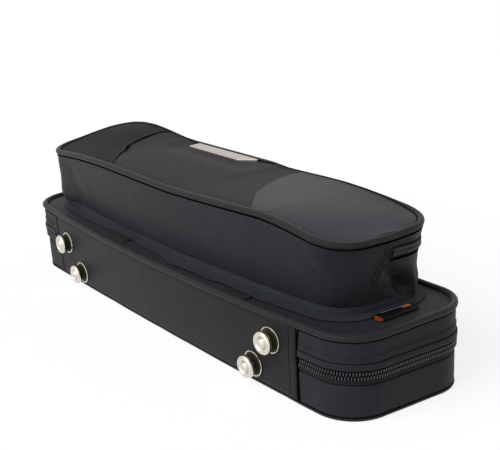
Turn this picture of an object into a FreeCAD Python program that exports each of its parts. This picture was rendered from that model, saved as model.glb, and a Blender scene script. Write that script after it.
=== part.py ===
import FreeCAD, Part
import math
import os

# Flute case lying on its base. Millimetres, +Z up. X runs along the case, the spine with the feet is
# on the -Y side, and the origin is on the supporting surface under the middle of the case body.

V = FreeCAD.Vector
UP = V(0, 0, 1)
ALONG = V(1, 0, 0)
ACROSS = V(0, 1, 0)

# Case body
case_length = 445.0
case_width = 112.0
corner_radius = 30.0
base_height = 24.7
lid_rim_height = 62.0
floor_bow = 2.3
rim_bow = 10.0
layer_gap = 0.1
joint_gap = 0.1
sewn_gap = 0.3
overrun = 5.0
inlay_overlap = 20.0

# Walls from the outside in
cover_thickness = 5.0
cover_floor = 2.0
shell_thickness = 3.0
lining_thickness = 1.2
lining_drop = 0.8

# Flute bed and lid cushion
bed_drop = 2.7
bed_top = base_height - bed_drop
channel_depth = 14.0
channel_width = 27.0
channel_corner = 6.0
body_channel_length = 366.0
head_channel_length = 222.0
foot_channel_length = 134.0
channel_rib = 12.0
cushion_thickness = 11.5

# Lid top
panel_thickness = 1.5
panel_rise = 3.7
top_inset = 3.8
lid_piping_radius = 2.6
lid_piping_inset = 1.1
lid_piping_seat = 0.5
lid_wall_drop = 7.5
lid_wall_top = lid_rim_height - lid_wall_drop
lid_panel_top = lid_wall_top + panel_rise
cushion_bottom = lid_wall_top - shell_thickness - cushion_thickness
base_piping_radius = 1.3
strap_width = 38.0
strap_thickness = 1.2
left_strap_x = -65.0
right_strap_x = 100.0

# Spine
spine_end_margin = 50.5
spine_half_length = case_length / 2 - spine_end_margin
spine_thickness = 1.1
spine_bottom = 3.8
binding_width = 6.0
binding_thickness = 0.9

# Main zip
zip_seam_gap = 4.0
zip_start = spine_half_length + zip_seam_gap
zip_rise = 6.95
zip_slit = 0.15
coil_height = 3.4
zip_line = base_height + zip_rise
coil_outset = 1.9
tape_inset = 0.2
tape_thickness = 0.8
cover_skirt = zip_line + coil_height + zip_slit
flap_top_drop = 8.5
flap_top = lid_wall_top - flap_top_drop
flap_thickness = 1.3

# Feet
lid_foot_insets = (24.6, 22.0)
lid_foot_rises = (10.1, 13.5)
base_foot_insets = (48.9, 42.3)
base_foot_drops = (11.3, 10.1)
foot_flange_radius = 10.0
foot_flange_thickness = 1.6
foot_neck_radius = 6.6
foot_neck_length = 5.0
foot_cap_radius = 8.4
foot_cap_thickness = 2.4
foot_crown = 1.2
foot_button_radius = 4.0
foot_button_height = 0.5
rivet_radius = 2.5
rivet_clearance = 0.1
washer_radius = 7.0
washer_thickness = 1.0

# Pocket
pocket_shift = -1.5
pocket_floor_bottom = lid_panel_top + strap_thickness + layer_gap
pocket_floor_thickness = 0.8
flange_thickness = 1.2
flange_end_margin = 20.5
flange_near_margin = 10.0
flange_far_margin = 6.0
flange_half_length = case_length / 2 - flange_end_margin
flange_near = case_width / 2 - flange_near_margin
flange_far = case_width / 2 - flange_far_margin
flange_bow = 8.5
flange_radius = 30.0
flange_end_width = 8.0
flange_side_width = 9.0
gusset_foot_half_length = flange_half_length - flange_end_width
gusset_foot_near = flange_near - flange_side_width
gusset_foot_far = flange_far - flange_side_width
gusset_foot_radius = 25.0
gusset_end_lean = 8.0
gusset_near_lean = 11.0
gusset_far_lean = 3.5
gusset_head_half_length = gusset_foot_half_length + gusset_end_lean
gusset_head_near = gusset_foot_near + gusset_near_lean
gusset_head_far = gusset_foot_far + gusset_far_lean
gusset_head_bow = 3.0
gusset_head_radius = 28.0
gusset_height = 52.4
gusset_thickness = 1.2
top_rise = 3.0
pocket_piping_radius = 2.75
pocket_piping_inset = 1.2
pocket_top_inset = 4.1
pocket_top_bottom = 2.2
pocket_top_thickness = 1.5
flap_line = -3.0
seam_gap = 0.3
pocket_zip_drop = 15.3
pocket_tape_width = 4.9
pocket_coil_height = 2.5
pocket_coil_outset = 1.4
patch_thickness = 0.9
left_patch_near_x = -80.0
left_patch_far_x = -156.0
right_patch_near_x = 98.0
right_patch_far_x = 52.0
plate_left = -79.0
plate_right = -8.0
plate_slant = 16.0
plate_near = 28.0
plate_depth = 12.0
plate_thickness = 1.8
plate_corner = 1.2
plate_bevel = 0.5
prong_radius = 0.9
prong_inset = 6.0
tag_near = -17.0
tag_length = 35.0
tag_reach = 9.0
tag_tuck = 6.0
tag_thickness = 1.1

# Handles
handle_width = 19.0
handle_thickness = 3.5
handle_reach = 48.0
handle_bend = 25.0
handle_tab_bottom = flap_top + sewn_gap
lid_handle_drop = 5.9
lid_handle_z = lid_wall_top - lid_handle_drop
base_handle_z = 8.0
base_handle_droop = 6.0
wrap_length = 96.0
wrap_width = 27.0
wrap_thickness = 14.0
wrap_corner = 5.0

# Sliders
slider_length = 13.0
slider_height = 9.5
slider_plate = 1.6
slider_stand_off = 0.4
slider_meeting_gap = 2.0
bail_length = 7.0
bail_rise = 2.6
bail_width = 3.0
bail_thickness = 1.1
pull_length = 26.0
pull_width = 7.0
pull_ring = 3.6
pull_running_clearance = 0.15
pull_corner = 2.0
pocket_slider_scale_share = 0.8


def bow_at(height):
    """How far the spine side swells outwards at mid length, at one height of the case."""
    return floor_bow + (rim_bow - floor_bow) * height / lid_rim_height


def plan_wire(height, half_length, near, far, radius, bow, grow=0.0, shift=0.0):
    """Closed outline with four round corners and a near long side that swells out by bow."""
    c = half_length - radius
    rho = (c * c + bow * bow) / (2 * bow)
    yc = rho - near - bow
    cy = yc - math.sqrt((rho - radius) ** 2 - c * c)
    r = radius + grow
    a = half_length + grow
    tangent = math.atan2(c, yc - cy)
    tx = (rho + grow) * math.sin(tangent)
    ty = yc - (rho + grow) * math.cos(tangent)
    half_turn = tangent / 2 + math.pi / 4
    mx = c + r * math.sin(half_turn)
    my = cy - r * math.cos(half_turn)
    diagonal = r * math.sin(math.pi / 4)
    fy = far - radius

    def at(x, y):
        return V(shift + x, y, height)

    edges = [
        Part.Arc(at(-tx, ty), at(0, yc - rho - grow), at(tx, ty)).toShape(),
        Part.Arc(at(tx, ty), at(mx, my), at(a, cy)).toShape(),
        Part.makeLine(at(a, cy), at(a, fy)),
        Part.Arc(at(a, fy), at(c + diagonal, fy + diagonal), at(c, far + grow)).toShape(),
        Part.makeLine(at(c, far + grow), at(-c, far + grow)),
        Part.Arc(at(-c, far + grow), at(-c - diagonal, fy + diagonal), at(-a, fy)).toShape(),
        Part.makeLine(at(-a, fy), at(-a, cy)),
        Part.Arc(at(-a, cy), at(-mx, my), at(-tx, ty)).toShape(),
    ]
    return Part.Wire(edges)


def case_wire(height, grow=0.0):
    half = case_width / 2
    return plan_wire(height, case_length / 2, half, half, corner_radius, bow_at(height), grow)


def case_block(bottom, top, grow=0.0):
    return Part.makeLoft([case_wire(bottom, grow), case_wire(top, grow)], True, True)


def case_ring(bottom, top, outer, inner):
    return case_block(bottom, top, outer).cut(case_block(bottom - overrun, top + overrun, inner))


def spine_face(x, height, grow=0.0):
    """The y of the swollen spine side, grown by a layer, at one place."""
    bow = bow_at(height)
    c = case_length / 2 - corner_radius
    rho = (c * c + bow * bow) / (2 * bow)
    yc = rho - case_width / 2 - bow
    return yc - math.sqrt((rho + grow) ** 2 - x * x)


def box(x0, x1, y0, y1, z0, z1):
    return Part.makeBox(x1 - x0, y1 - y0, z1 - z0, V(x0, y0, z0))


def rounded_box(x0, x1, y0, y1, z0, z1, radius):
    """A box with its four upright edges rounded."""
    body = box(x0, x1, y0, y1, z0, z1)
    upright = [e for e in body.Edges if abs(e.tangentAt(e.FirstParameter).z) > math.cos(math.pi / 4)]
    return body.makeFillet(radius, upright)


def near_side(half_length, bottom, top):
    """A box round the spine side, out to half_length each way."""
    half = case_width / 2
    return box(-half_length, half_length, -half - rim_bow - overrun, -half + inlay_overlap, bottom, top)


def fused(shapes):
    joined = shapes[0].multiFuse(shapes[1:]) if len(shapes) > 1 else shapes[0]
    return joined.removeSplitter()


# Pocket outline: the gusset leans out from its foot to its head

gusset_foot = pocket_floor_bottom + pocket_floor_thickness + layer_gap
gusset_head = gusset_foot + gusset_height
pocket_zip_line = gusset_head - pocket_zip_drop


def pocket_wire(height, grow=0.0):
    share = (height - gusset_foot) / (gusset_head - gusset_foot)

    def between(low, high):
        return low + (high - low) * share

    return plan_wire(
        height,
        between(gusset_foot_half_length, gusset_head_half_length),
        between(gusset_foot_near, gusset_head_near),
        between(gusset_foot_far, gusset_head_far),
        between(gusset_foot_radius, gusset_head_radius),
        between(flange_bow, gusset_head_bow),
        grow,
        pocket_shift,
    )


def pocket_block(bottom, top, grow=0.0):
    return Part.makeLoft([pocket_wire(bottom, grow), pocket_wire(top, grow)], True, True)


def pocket_wall(bottom, top, outer, inner):
    return pocket_block(bottom, top, outer).cut(pocket_block(bottom - overrun, top + overrun, inner))


top_angle = math.degrees(math.atan2(top_rise, gusset_head_near + gusset_head_far))


def on_top(shape):
    """Tilts a flat piece made at the gusset's head so that it rises towards the far side."""
    turned = shape.copy()
    turned.rotate(V(0, -gusset_head_near, gusset_head), ALONG, top_angle)
    return turned


def above_gusset():
    reach = case_length
    cutter = box(-reach, reach, -reach, reach, gusset_head, gusset_head + reach)
    return on_top(cutter)


def top_wire(rise, grow):
    return plan_wire(
        gusset_head + rise,
        gusset_head_half_length,
        gusset_head_near,
        gusset_head_far,
        gusset_head_radius,
        gusset_head_bow,
        grow,
        pocket_shift,
    )


def top_slab(bottom, thickness, grow):
    face = Part.Face(top_wire(bottom, grow))
    return face.extrude(UP * thickness)


def pipe_ring(path, radius):
    """A round cord all the way round a closed outline."""
    start = path.Edges[0].valueAt(path.Edges[0].FirstParameter)
    along = path.Edges[0].tangentAt(path.Edges[0].FirstParameter)
    section = Part.Wire([Part.makeCircle(radius, start, along)])
    return path.makePipeShell([section], True, False)


def front_and_rear(shape):
    """Splits a piece of the pocket's top along the line where its flap folds."""
    reach = case_length
    bottom = pocket_floor_bottom
    front_box = box(-reach, reach, -reach, flap_line - seam_gap, bottom, bottom + reach)
    rear_box = box(-reach, reach, flap_line, reach, bottom, bottom + reach)
    return shape.common(front_box), shape.common(rear_box)


# Base

def make_base():
    inner = -cover_thickness
    shell_out = inner - layer_gap
    shell_in = shell_out - shell_thickness
    lining_out = shell_in - layer_gap
    lining_in = lining_out - lining_thickness
    shell_floor = cover_floor + layer_gap
    bed_bottom = shell_floor + shell_thickness + layer_gap
    parts = {}
    cover = case_block(0, base_height - joint_gap)
    parts["base_cover"] = cover.cut(case_block(cover_floor, base_height + overrun, inner))
    shell = case_block(shell_floor, base_height - joint_gap, shell_out)
    parts["base_shell"] = shell.cut(case_block(shell_floor + shell_thickness, base_height + overrun, shell_in))
    parts["base_lining"] = case_ring(bed_bottom, base_height - lining_drop, lining_out, lining_in)
    parts["flute_bed"] = make_bed(bed_bottom, lining_in - layer_gap)
    piping_path = case_wire(base_piping_radius + sewn_gap, base_piping_radius + layer_gap)
    parts["base_piping"] = pipe_ring(piping_path, base_piping_radius)
    return parts


def make_bed(bottom, grow):
    """Plush-covered bed with one long channel for the body and two short ones in line."""
    bed = case_block(bottom, bed_top, grow)
    low = bed_top - channel_depth
    high = bed_top + overrun
    row_y = (channel_width + channel_rib) / 2
    half_body = body_channel_length / 2
    left = -(head_channel_length + channel_rib + foot_channel_length) / 2
    split = left + head_channel_length
    far_row = (row_y - channel_width / 2, row_y + channel_width / 2)
    near_row = (-far_row[1], -far_row[0])
    channels = [
        rounded_box(-half_body, half_body, far_row[0], far_row[1], low, high, channel_corner),
        rounded_box(left, split, near_row[0], near_row[1], low, high, channel_corner),
        rounded_box(split + channel_rib, -left, near_row[0], near_row[1], low, high, channel_corner),
    ]
    for channel in channels:
        bed = bed.cut(channel)
    return bed


# Lid

def make_lid():
    inner = -cover_thickness
    shell_out = inner - layer_gap
    shell_in = shell_out - shell_thickness
    lining_out = shell_in - layer_gap
    lining_in = lining_out - lining_thickness
    shell_under = lid_wall_top - shell_thickness
    bottom = base_height + joint_gap
    panel_bottom = lid_panel_top - panel_thickness
    parts = {}
    shell = case_block(bottom, lid_wall_top, shell_out)
    parts["lid_shell"] = shell.cut(case_block(bottom - overrun, shell_under, shell_in))
    half = case_length
    below = box(-half, half, -half, half, bottom - overrun, cover_skirt)
    zip_room = below.cut(near_side(spine_half_length, bottom - overrun, cover_skirt))
    parts["lid_cover"] = case_ring(bottom, lid_wall_top, 0, inner).cut(zip_room)
    parts["lid_padding"] = case_block(lid_wall_top + layer_gap, panel_bottom - layer_gap, -top_inset)
    parts["lid_top_panel"] = case_block(panel_bottom, lid_panel_top, -top_inset)
    rim_path = case_wire(lid_wall_top + lid_piping_seat + lid_piping_radius, -lid_piping_inset)
    parts["lid_piping"] = pipe_ring(rim_path, lid_piping_radius)
    lining_bottom = bottom + lining_drop
    lining_top = shell_under - layer_gap
    parts["lid_lining"] = case_ring(lining_bottom, lining_top, lining_out, lining_in)
    parts["lid_cushion"] = case_block(cushion_bottom, lining_top, lining_in - layer_gap)
    parts["lid_straps"] = make_lid_straps(lid_panel_top + layer_gap / 2)
    return parts


def make_lid_straps(bottom):
    """Two straps over the lid, each ending in a tab down the far wall that carries the handle."""
    half = case_width / 2
    half_strap = strap_width / 2
    pieces = []
    for x in (left_strap_x, right_strap_x):
        band = case_block(bottom, bottom + strap_thickness, -top_inset)
        reach = half + rim_bow
        pieces.append(band.common(box(x - half_strap, x + half_strap, -reach, reach, bottom, bottom + overrun)))
        out = half + layer_gap
        tab_top = lid_wall_top
        tab = box(x - half_strap, x + half_strap, out, out + strap_thickness, handle_tab_bottom, tab_top)
        pieces.append(tab)
    return Part.Compound(pieces)


def make_base_straps():
    """Two tabs of strap sewn up the far wall of the base, which carry its handle."""
    half_strap = strap_width / 2
    out = case_width / 2 + layer_gap
    top = base_handle_z + handle_thickness
    return Part.Compound([
        box(x - half_strap, x + half_strap, out, out + strap_thickness, spine_bottom, top)
        for x in (left_strap_x, right_strap_x)
    ])


# Spine, its end bindings and its feet

def make_spine():
    inner = layer_gap
    outer = layer_gap + spine_thickness
    binding_in = outer + layer_gap
    binding_out = binding_in + binding_thickness
    halves = {
        "base": (spine_bottom, base_height - joint_gap),
        "lid": (base_height + joint_gap, lid_wall_top),
    }
    parts = {}
    for name, (bottom, top) in halves.items():
        panel = case_ring(bottom, top, outer, inner)
        parts[name + "_spine_panel"] = panel.common(near_side(spine_half_length, bottom, top))
        strip = case_ring(bottom, top, binding_out, binding_in)
        edge = spine_half_length + binding_width / 2
        wide = strip.common(near_side(edge, bottom, top))
        parts[name + "_spine_bindings"] = wide.cut(near_side(edge - binding_width, 0, lid_rim_height))
    return parts


def wall_frame(x, height, grow):
    """Placement with its local +Z along the spine wall's outward direction."""
    c = case_length / 2 - corner_radius
    lean = (rim_bow - floor_bow) / lid_rim_height * (1 - (x / c) ** 2)
    swing = 2 * bow_at(height) * x / (c * c)
    outward = V(swing, -1, -lean)
    outward.normalize()
    return FreeCAD.Placement(V(x, spine_face(x, height, grow), height), FreeCAD.Rotation(UP, outward))


def foot_solid():
    """Riveted metal foot: flange on the wall, neck, wide cap with a ridge and a raised button, shank."""
    back = -(layer_gap * 3 + spine_thickness + cover_thickness + shell_thickness + washer_thickness + layer_gap)
    brim = foot_flange_thickness + foot_neck_length
    rim = brim + foot_cap_thickness
    ridge = rim + foot_crown
    step = foot_flange_thickness / 2
    button = foot_button_radius
    points = [
        V(0, 0, back),
        V(rivet_radius, 0, back),
        V(rivet_radius, 0, 0),
        V(foot_flange_radius, 0, 0),
        V(foot_flange_radius, 0, step),
        V(foot_flange_radius - step, 0, foot_flange_thickness),
        V(foot_neck_radius, 0, foot_flange_thickness),
        V(foot_neck_radius, 0, brim),
        V(foot_cap_radius, 0, brim),
        V(foot_cap_radius, 0, rim),
        V(foot_cap_radius - step, 0, ridge),
        V(button + step * 2, 0, ridge),
        V(button + step, 0, rim),
        V(button, 0, rim),
        V(button / 2, 0, ridge + foot_button_height),
        V(0, 0, ridge + foot_button_height),
    ]
    outline = Part.makePolygon(points + [points[0]])
    return Part.Face(outline).revolve(V(0, 0, 0), UP, 360)


def washer_solid():
    inner_face = -(spine_thickness + cover_thickness + shell_thickness + layer_gap * 3)
    ring = Part.makeCylinder(washer_radius, washer_thickness, V(0, 0, inner_face - washer_thickness))
    hole = Part.makeCylinder(rivet_radius + rivet_clearance, overrun * 2, V(0, 0, inner_face - overrun))
    return ring.cut(hole)


def drill(shape, frame, radius, low, high):
    tool = Part.makeCylinder(radius, high - low, V(0, 0, low))
    tool.Placement = frame
    return shape.cut(tool)


def make_feet(parts):
    """Adds the feet and washers, and drills the layers that their shanks pass through."""
    outer = layer_gap + spine_thickness
    stack = outer + cover_thickness + layer_gap + shell_thickness
    hole = rivet_radius + rivet_clearance
    rows = {
        "base": (base_foot_insets, [-drop for drop in base_foot_drops], "flute_bed"),
        "lid": (lid_foot_insets, lid_foot_rises, "lid_cushion"),
    }
    for name, (insets, rises, filling) in rows.items():
        feet = []
        washers = []
        for side, inset, rise in zip((-1, 1), insets, rises):
            x = side * (spine_half_length - inset)
            frame = wall_frame(x, base_height + rise, outer + layer_gap / 2)
            for layer in ("_spine_panel", "_cover", "_shell"):
                parts[name + layer] = drill(parts[name + layer], frame, hole, -stack - overrun, overrun)
            lining = parts[name + "_lining"]
            well = washer_radius + rivet_clearance
            parts[name + "_lining"] = drill(lining, frame, well, -stack - overrun, -cover_thickness)
            parts[filling] = drill(parts[filling], frame, well, -stack - overrun / 2, -cover_thickness)
            foot = foot_solid()
            foot.Placement = frame
            feet.append(foot)
            washer = washer_solid()
            washer.Placement = frame
            washers.append(washer)
        parts[name + "_feet"] = Part.Compound(feet)
        parts[name + "_foot_washers"] = Part.Compound(washers)


# Main zip, round the three sides away from the spine

def zip_course(bottom, top, outer, inner):
    ring = case_ring(bottom, top, outer, inner)
    return ring.cut(near_side(zip_start, bottom - overrun, top + overrun))


def make_zip():
    tape_out = -tape_inset
    tape_in = tape_out - tape_thickness
    coil_in = tape_out + layer_gap
    half_slit = zip_slit / 2
    low = base_height + layer_gap / 2
    coil_low = zip_line - half_slit - coil_height
    coil_high = zip_line + half_slit + coil_height
    return {
        "zip_lower_tape": zip_course(low, zip_line - half_slit, tape_out, tape_in),
        "zip_lower_coil": zip_course(coil_low, zip_line - half_slit, coil_outset, coil_in),
        "zip_upper_tape": zip_course(zip_line + half_slit, cover_skirt - layer_gap / 2, tape_out, tape_in),
        "zip_upper_coil": zip_course(zip_line + half_slit, coil_high, coil_outset, coil_in),
        "zip_flap": zip_course(cover_skirt + layer_gap, flap_top, flap_thickness + layer_gap, layer_gap),
    }


# Pocket on the lid

def make_pocket():
    parts = {}
    floor_bottom = pocket_floor_bottom
    floor_face = Part.Face(pocket_wire(floor_bottom))
    parts["pocket_floor"] = floor_face.extrude(UP * pocket_floor_thickness)
    half_length = flange_half_length
    rim = plan_wire(
        floor_bottom, half_length, flange_near, flange_far, flange_radius, flange_bow, 0, pocket_shift
    )
    flange = Part.Face(rim).extrude(UP * flange_thickness)
    parts["pocket_flange"] = flange.cut(pocket_block(floor_bottom - overrun, gusset_foot + overrun, layer_gap))
    tall = gusset_head + top_rise + overrun
    head_cut = above_gusset()
    wall = pocket_wall(gusset_foot, tall, 0, -gusset_thickness).cut(head_cut)
    front, rear = front_and_rear(wall)
    parts["pocket_front_gusset"] = front
    reach = case_length
    zip_low = pocket_zip_line - pocket_tape_width
    zip_high = pocket_zip_line + pocket_tape_width
    parts["pocket_rear_gusset"] = rear.common(box(-reach, reach, -reach, reach, floor_bottom, zip_low))
    parts["flap_band"] = rear.common(box(-reach, reach, -reach, reach, zip_high, tall))
    tape_out = -tape_inset
    tape_in = tape_out - tape_thickness
    coil_in = tape_out + layer_gap
    half_slit = zip_slit / 2
    low = zip_low + layer_gap / 2
    high = zip_high - layer_gap / 2
    mid_low = pocket_zip_line - half_slit
    mid_high = pocket_zip_line + half_slit
    courses = {
        "pocket_lower_tape": (low, mid_low, tape_out, tape_in),
        "pocket_lower_coil": (mid_low - pocket_coil_height, mid_low, pocket_coil_outset, coil_in),
        "pocket_upper_tape": (mid_high, high, tape_out, tape_in),
        "pocket_upper_coil": (mid_high, mid_high + pocket_coil_height, pocket_coil_outset, coil_in),
    }
    for name, (bottom, top, outer, inner) in courses.items():
        parts[name] = front_and_rear(pocket_wall(bottom, top, outer, inner))[1]
    return parts


def make_pocket_top():
    parts = {}
    panel = on_top(top_slab(pocket_top_bottom, pocket_top_thickness, -pocket_top_inset))
    parts["pocket_top_front"], parts["flap_panel"] = front_and_rear(panel)
    cord = on_top(pipe_ring(top_wire(pocket_piping_radius + layer_gap / 2, -pocket_piping_inset), pocket_piping_radius))
    parts["pocket_piping_front"], parts["flap_piping"] = front_and_rear(cord)
    patch_bottom = pocket_top_bottom + pocket_top_thickness + layer_gap / 2
    slab = top_slab(patch_bottom, patch_thickness, -pocket_top_inset)
    left = on_top(slab.common(patch_area(left_patch_near_x, left_patch_far_x, -case_length)))
    right = on_top(slab.common(patch_area(right_patch_near_x, right_patch_far_x, case_length)))
    parts["left_patch_front"], parts["left_patch_rear"] = front_and_rear(left)
    parts["right_patch_front"], parts["right_patch_rear"] = front_and_rear(right)
    parts["name_plate"] = on_top(make_plate(gusset_head + patch_bottom))
    panel_hole = on_top(plate_prongs(gusset_head + pocket_top_bottom - overrun, overrun * 2, rivet_clearance))
    parts["flap_panel"] = parts["flap_panel"].cut(panel_hole)
    return parts


def patch_area(near_x, far_x, end_x):
    """Area of the top that a patch covers: its free edge is an arc from the near to the far side."""
    near = V(near_x, -gusset_head_near - overrun, gusset_head)
    far = V(far_x, gusset_head_far + overrun, gusset_head)
    chord = far - near
    bulge = V(chord.y, -chord.x, 0) * (1 if end_x > 0 else -1)
    bulge.normalize()
    middle = (near + far) / 2 - bulge * (abs(chord.x) / 4)
    edge = Part.Arc(near, middle, far).toShape()
    rest = Part.makePolygon([far, V(end_x, far.y, gusset_head), V(end_x, near.y, gusset_head), near])
    face = Part.Face(Part.Wire([edge] + rest.Edges))
    return face.extrude(UP * (top_rise + overrun * 2))


def plate_prongs(bottom, length, extra):
    y = plate_near + plate_depth / 2
    return Part.Compound([
        Part.makeCylinder(prong_radius + extra, length, V(x, y, bottom))
        for x in (plate_left + prong_inset, plate_right - prong_inset)
    ])


def make_plate(bottom):
    """Bare metal plate with a slanted end, bevelled all round, held by two prongs through the panel."""
    low = plate_near
    high = plate_near + plate_depth
    corners = [
        V(plate_left, low, bottom),
        V(plate_right, low, bottom),
        V(plate_right + plate_slant, high, bottom),
        V(plate_left - plate_corner, high, bottom),
    ]
    slab = Part.Face(Part.makePolygon(corners + [corners[0]])).extrude(UP * plate_thickness)
    upright = [e for e in slab.Edges if abs(e.tangentAt(e.FirstParameter).z) > math.cos(math.pi / 4)]
    slab = slab.makeFillet(plate_corner, upright)
    top = max(slab.Faces, key=lambda f: f.CenterOfMass.z)
    slab = slab.makeChamfer(plate_bevel, top.Edges)
    length = pocket_top_thickness + layer_gap
    pins = plate_prongs(bottom - length, length, 0)
    return fused([slab] + pins.Solids)


def make_tag():
    """Woven tag folded over into a flat loop, its ends tucked under the pocket's flange."""
    edge = flange_half_length + pocket_shift
    radius = tag_thickness
    bottom = pocket_floor_bottom - layer_gap - tag_thickness
    middle = bottom + radius
    near = tag_near
    far = tag_near + tag_length
    outer = box(edge + layer_gap, edge + tag_reach - radius, near, far, bottom, bottom + 2 * radius)
    nose = Part.makeCylinder(radius, tag_length, V(edge + tag_reach - radius, near, middle), ACROSS)
    tuck = box(edge - tag_tuck, edge + tag_tuck / 2, near, far, bottom, bottom + tag_thickness)
    return fused([outer, nose, tuck])


# Handles

def handle_loop(axis_z):
    """Webbing loop: two legs from the far wall, bends and a grip bar, with round folds at the roots."""
    half = handle_width / 2
    root = case_width / 2 + layer_gap + strap_thickness + sewn_gap + handle_thickness / 2
    bar = root + handle_reach
    low = axis_z - handle_thickness / 2
    high = axis_z + handle_thickness / 2
    outer_bend = handle_bend + half
    inner_bend = handle_bend - half
    back = root - outer_bend * 2
    outer = rounded_box(
        left_strap_x - half, right_strap_x + half, back, bar + half, low, high, outer_bend
    )
    inner = rounded_box(
        left_strap_x + half, right_strap_x - half, back - overrun, bar - half, low - overrun, high + overrun,
        inner_bend,
    )
    reach = case_length
    loop = outer.cut(inner).common(box(-reach, reach, root, reach, low, high))
    folds = [
        Part.makeCylinder(handle_thickness / 2, handle_width, V(x - half, root, axis_z), ALONG)
        for x in (left_strap_x, right_strap_x)
    ]
    return fused([loop] + folds), root, bar


def make_handles():
    parts = {}
    parts["lid_handle"], root, bar = handle_loop(lid_handle_z)
    centre = (left_strap_x + right_strap_x) / 2
    half = wrap_length / 2
    grip = box(
        centre - half, centre + half,
        bar - wrap_width / 2, bar + wrap_width / 2,
        lid_handle_z - wrap_thickness / 2, lid_handle_z + wrap_thickness / 2,
    )
    lengthwise = [e for e in grip.Edges if abs(e.tangentAt(e.FirstParameter).x) > math.cos(math.pi / 4)]
    grip = grip.makeFillet(wrap_corner, lengthwise)
    slot_half = handle_width / 2 + layer_gap
    slot = box(
        centre - half - overrun, centre + half + overrun,
        bar - slot_half, bar + slot_half,
        lid_handle_z - handle_thickness / 2 - layer_gap, lid_handle_z + handle_thickness / 2 + layer_gap,
    )
    parts["handle_wrap"] = grip.cut(slot)
    loop, root, bar = handle_loop(base_handle_z)
    loop.rotate(V(0, root, base_handle_z), ALONG, -base_handle_droop)
    parts["base_handle"] = loop
    return parts


# Sliders and pulls

def slider_pieces(x, wall_y, height, side, scale):
    """Slider body with its arched bail, and the pull whose ring turns under the bail."""
    half = slider_length * scale / 2
    tall = slider_height * scale / 2
    out = wall_y + slider_stand_off
    face = out + slider_plate * scale
    plate = box(x - half, x + half, out, face, height - tall, height + tall)
    corners = [e for e in plate.Edges if abs(e.tangentAt(e.FirstParameter).y) > math.cos(math.pi / 4)]
    plate = plate.makeFillet(slider_height * scale / 4, corners)
    bail_half = bail_length * scale / 2
    bail_tall = bail_width * scale / 2
    rise = bail_rise * scale
    thick = bail_thickness * scale
    arch = box(x - bail_half, x + bail_half, face, face + rise + thick, height - bail_tall, height + bail_tall)
    slot = box(
        x - bail_half + thick, x + bail_half - thick,
        face, face + rise,
        height - bail_tall - overrun, height + bail_tall + overrun,
    )
    body = fused([plate, arch.cut(slot)])
    radius = rise / 2 - pull_running_clearance
    axis_y = face + rise / 2
    half_pull = pull_width * scale / 2
    bar = Part.makeCylinder(radius, half_pull * 2, V(x, axis_y, height - half_pull))
    ring = pull_ring * scale
    end = pull_length * scale
    strip = box(0, end, axis_y - radius, axis_y + radius, height - half_pull, height + half_pull)
    window = box(
        -radius, ring + bail_half,
        axis_y - overrun, axis_y + overrun,
        height - bail_tall - pull_running_clearance * 2, height + bail_tall + pull_running_clearance * 2,
    )
    tip = [
        e for e in strip.Edges
        if abs(e.tangentAt(e.FirstParameter).y) > math.cos(math.pi / 4) and e.CenterOfMass.x > end / 2
    ]
    strip = strip.makeFillet(pull_corner * scale, tip).cut(window)
    if side < 0:
        strip = strip.mirror(V(0, 0, 0), ALONG)
    strip.translate(V(x, 0, 0))
    return body, fused([strip, bar])


def make_sliders():
    parts = {}
    wall = case_width / 2 + coil_outset
    apart = (slider_length + slider_meeting_gap) / 2
    small = pocket_slider_scale_share
    head_share = (pocket_zip_line - gusset_foot) / (gusset_head - gusset_foot)
    pocket_wall_y = gusset_foot_far + (gusset_head_far - gusset_foot_far) * head_share + pocket_coil_outset
    for side, name in ((-1, "left"), (1, "right")):
        body, pull = slider_pieces(side * apart, wall, zip_line, side, 1)
        parts[name + "_slider"] = body
        parts[name + "_pull"] = pull
        body, pull = slider_pieces(side * apart * small, pocket_wall_y, pocket_zip_line, side, small)
        parts["pocket_" + name + "_slider"] = body
        parts["pocket_" + name + "_pull"] = pull
    return parts


def make_all():
    parts = {}
    parts.update(make_base())
    parts["base_straps"] = make_base_straps()
    parts.update(make_lid())
    parts.update(make_spine())
    make_feet(parts)
    parts.update(make_zip())
    parts.update(make_pocket())
    parts.update(make_pocket_top())
    parts["loop_tag"] = make_tag()
    parts.update(make_handles())
    parts.update(make_sliders())
    return parts


os.makedirs("parts", exist_ok=True)
for node, shape in make_all().items():
    shape.exportStep("parts/" + node + ".step")
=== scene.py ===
import math
from functools import lru_cache

import bmesh
import bpy
import numpy as np
from mathutils import Matrix, Vector, noise


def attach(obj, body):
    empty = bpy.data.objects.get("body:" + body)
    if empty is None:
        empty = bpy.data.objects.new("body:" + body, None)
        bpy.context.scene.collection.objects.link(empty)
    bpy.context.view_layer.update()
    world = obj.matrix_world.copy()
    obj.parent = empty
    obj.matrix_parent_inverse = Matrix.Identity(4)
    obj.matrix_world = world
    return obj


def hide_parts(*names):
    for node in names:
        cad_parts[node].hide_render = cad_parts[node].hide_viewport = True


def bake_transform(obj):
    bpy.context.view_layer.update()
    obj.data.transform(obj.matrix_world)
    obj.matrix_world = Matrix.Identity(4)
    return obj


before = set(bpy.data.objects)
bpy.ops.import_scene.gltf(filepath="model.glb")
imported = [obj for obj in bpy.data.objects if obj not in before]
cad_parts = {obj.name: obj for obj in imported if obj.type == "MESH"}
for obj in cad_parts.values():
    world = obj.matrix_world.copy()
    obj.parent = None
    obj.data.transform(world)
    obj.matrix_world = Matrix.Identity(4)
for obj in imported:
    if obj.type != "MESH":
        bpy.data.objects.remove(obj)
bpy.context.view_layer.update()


# Camera: a long lens at the right end of the spine side, a little above the lid and rolled a touch.
mm = 0.001
azimuth, elevation, roll = (math.radians(angle) for angle in (54.34, 16.57, -1.63))
aim = Vector((-70.8, 84.3, 40.0)) * mm
distance = 919.8 * mm
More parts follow.
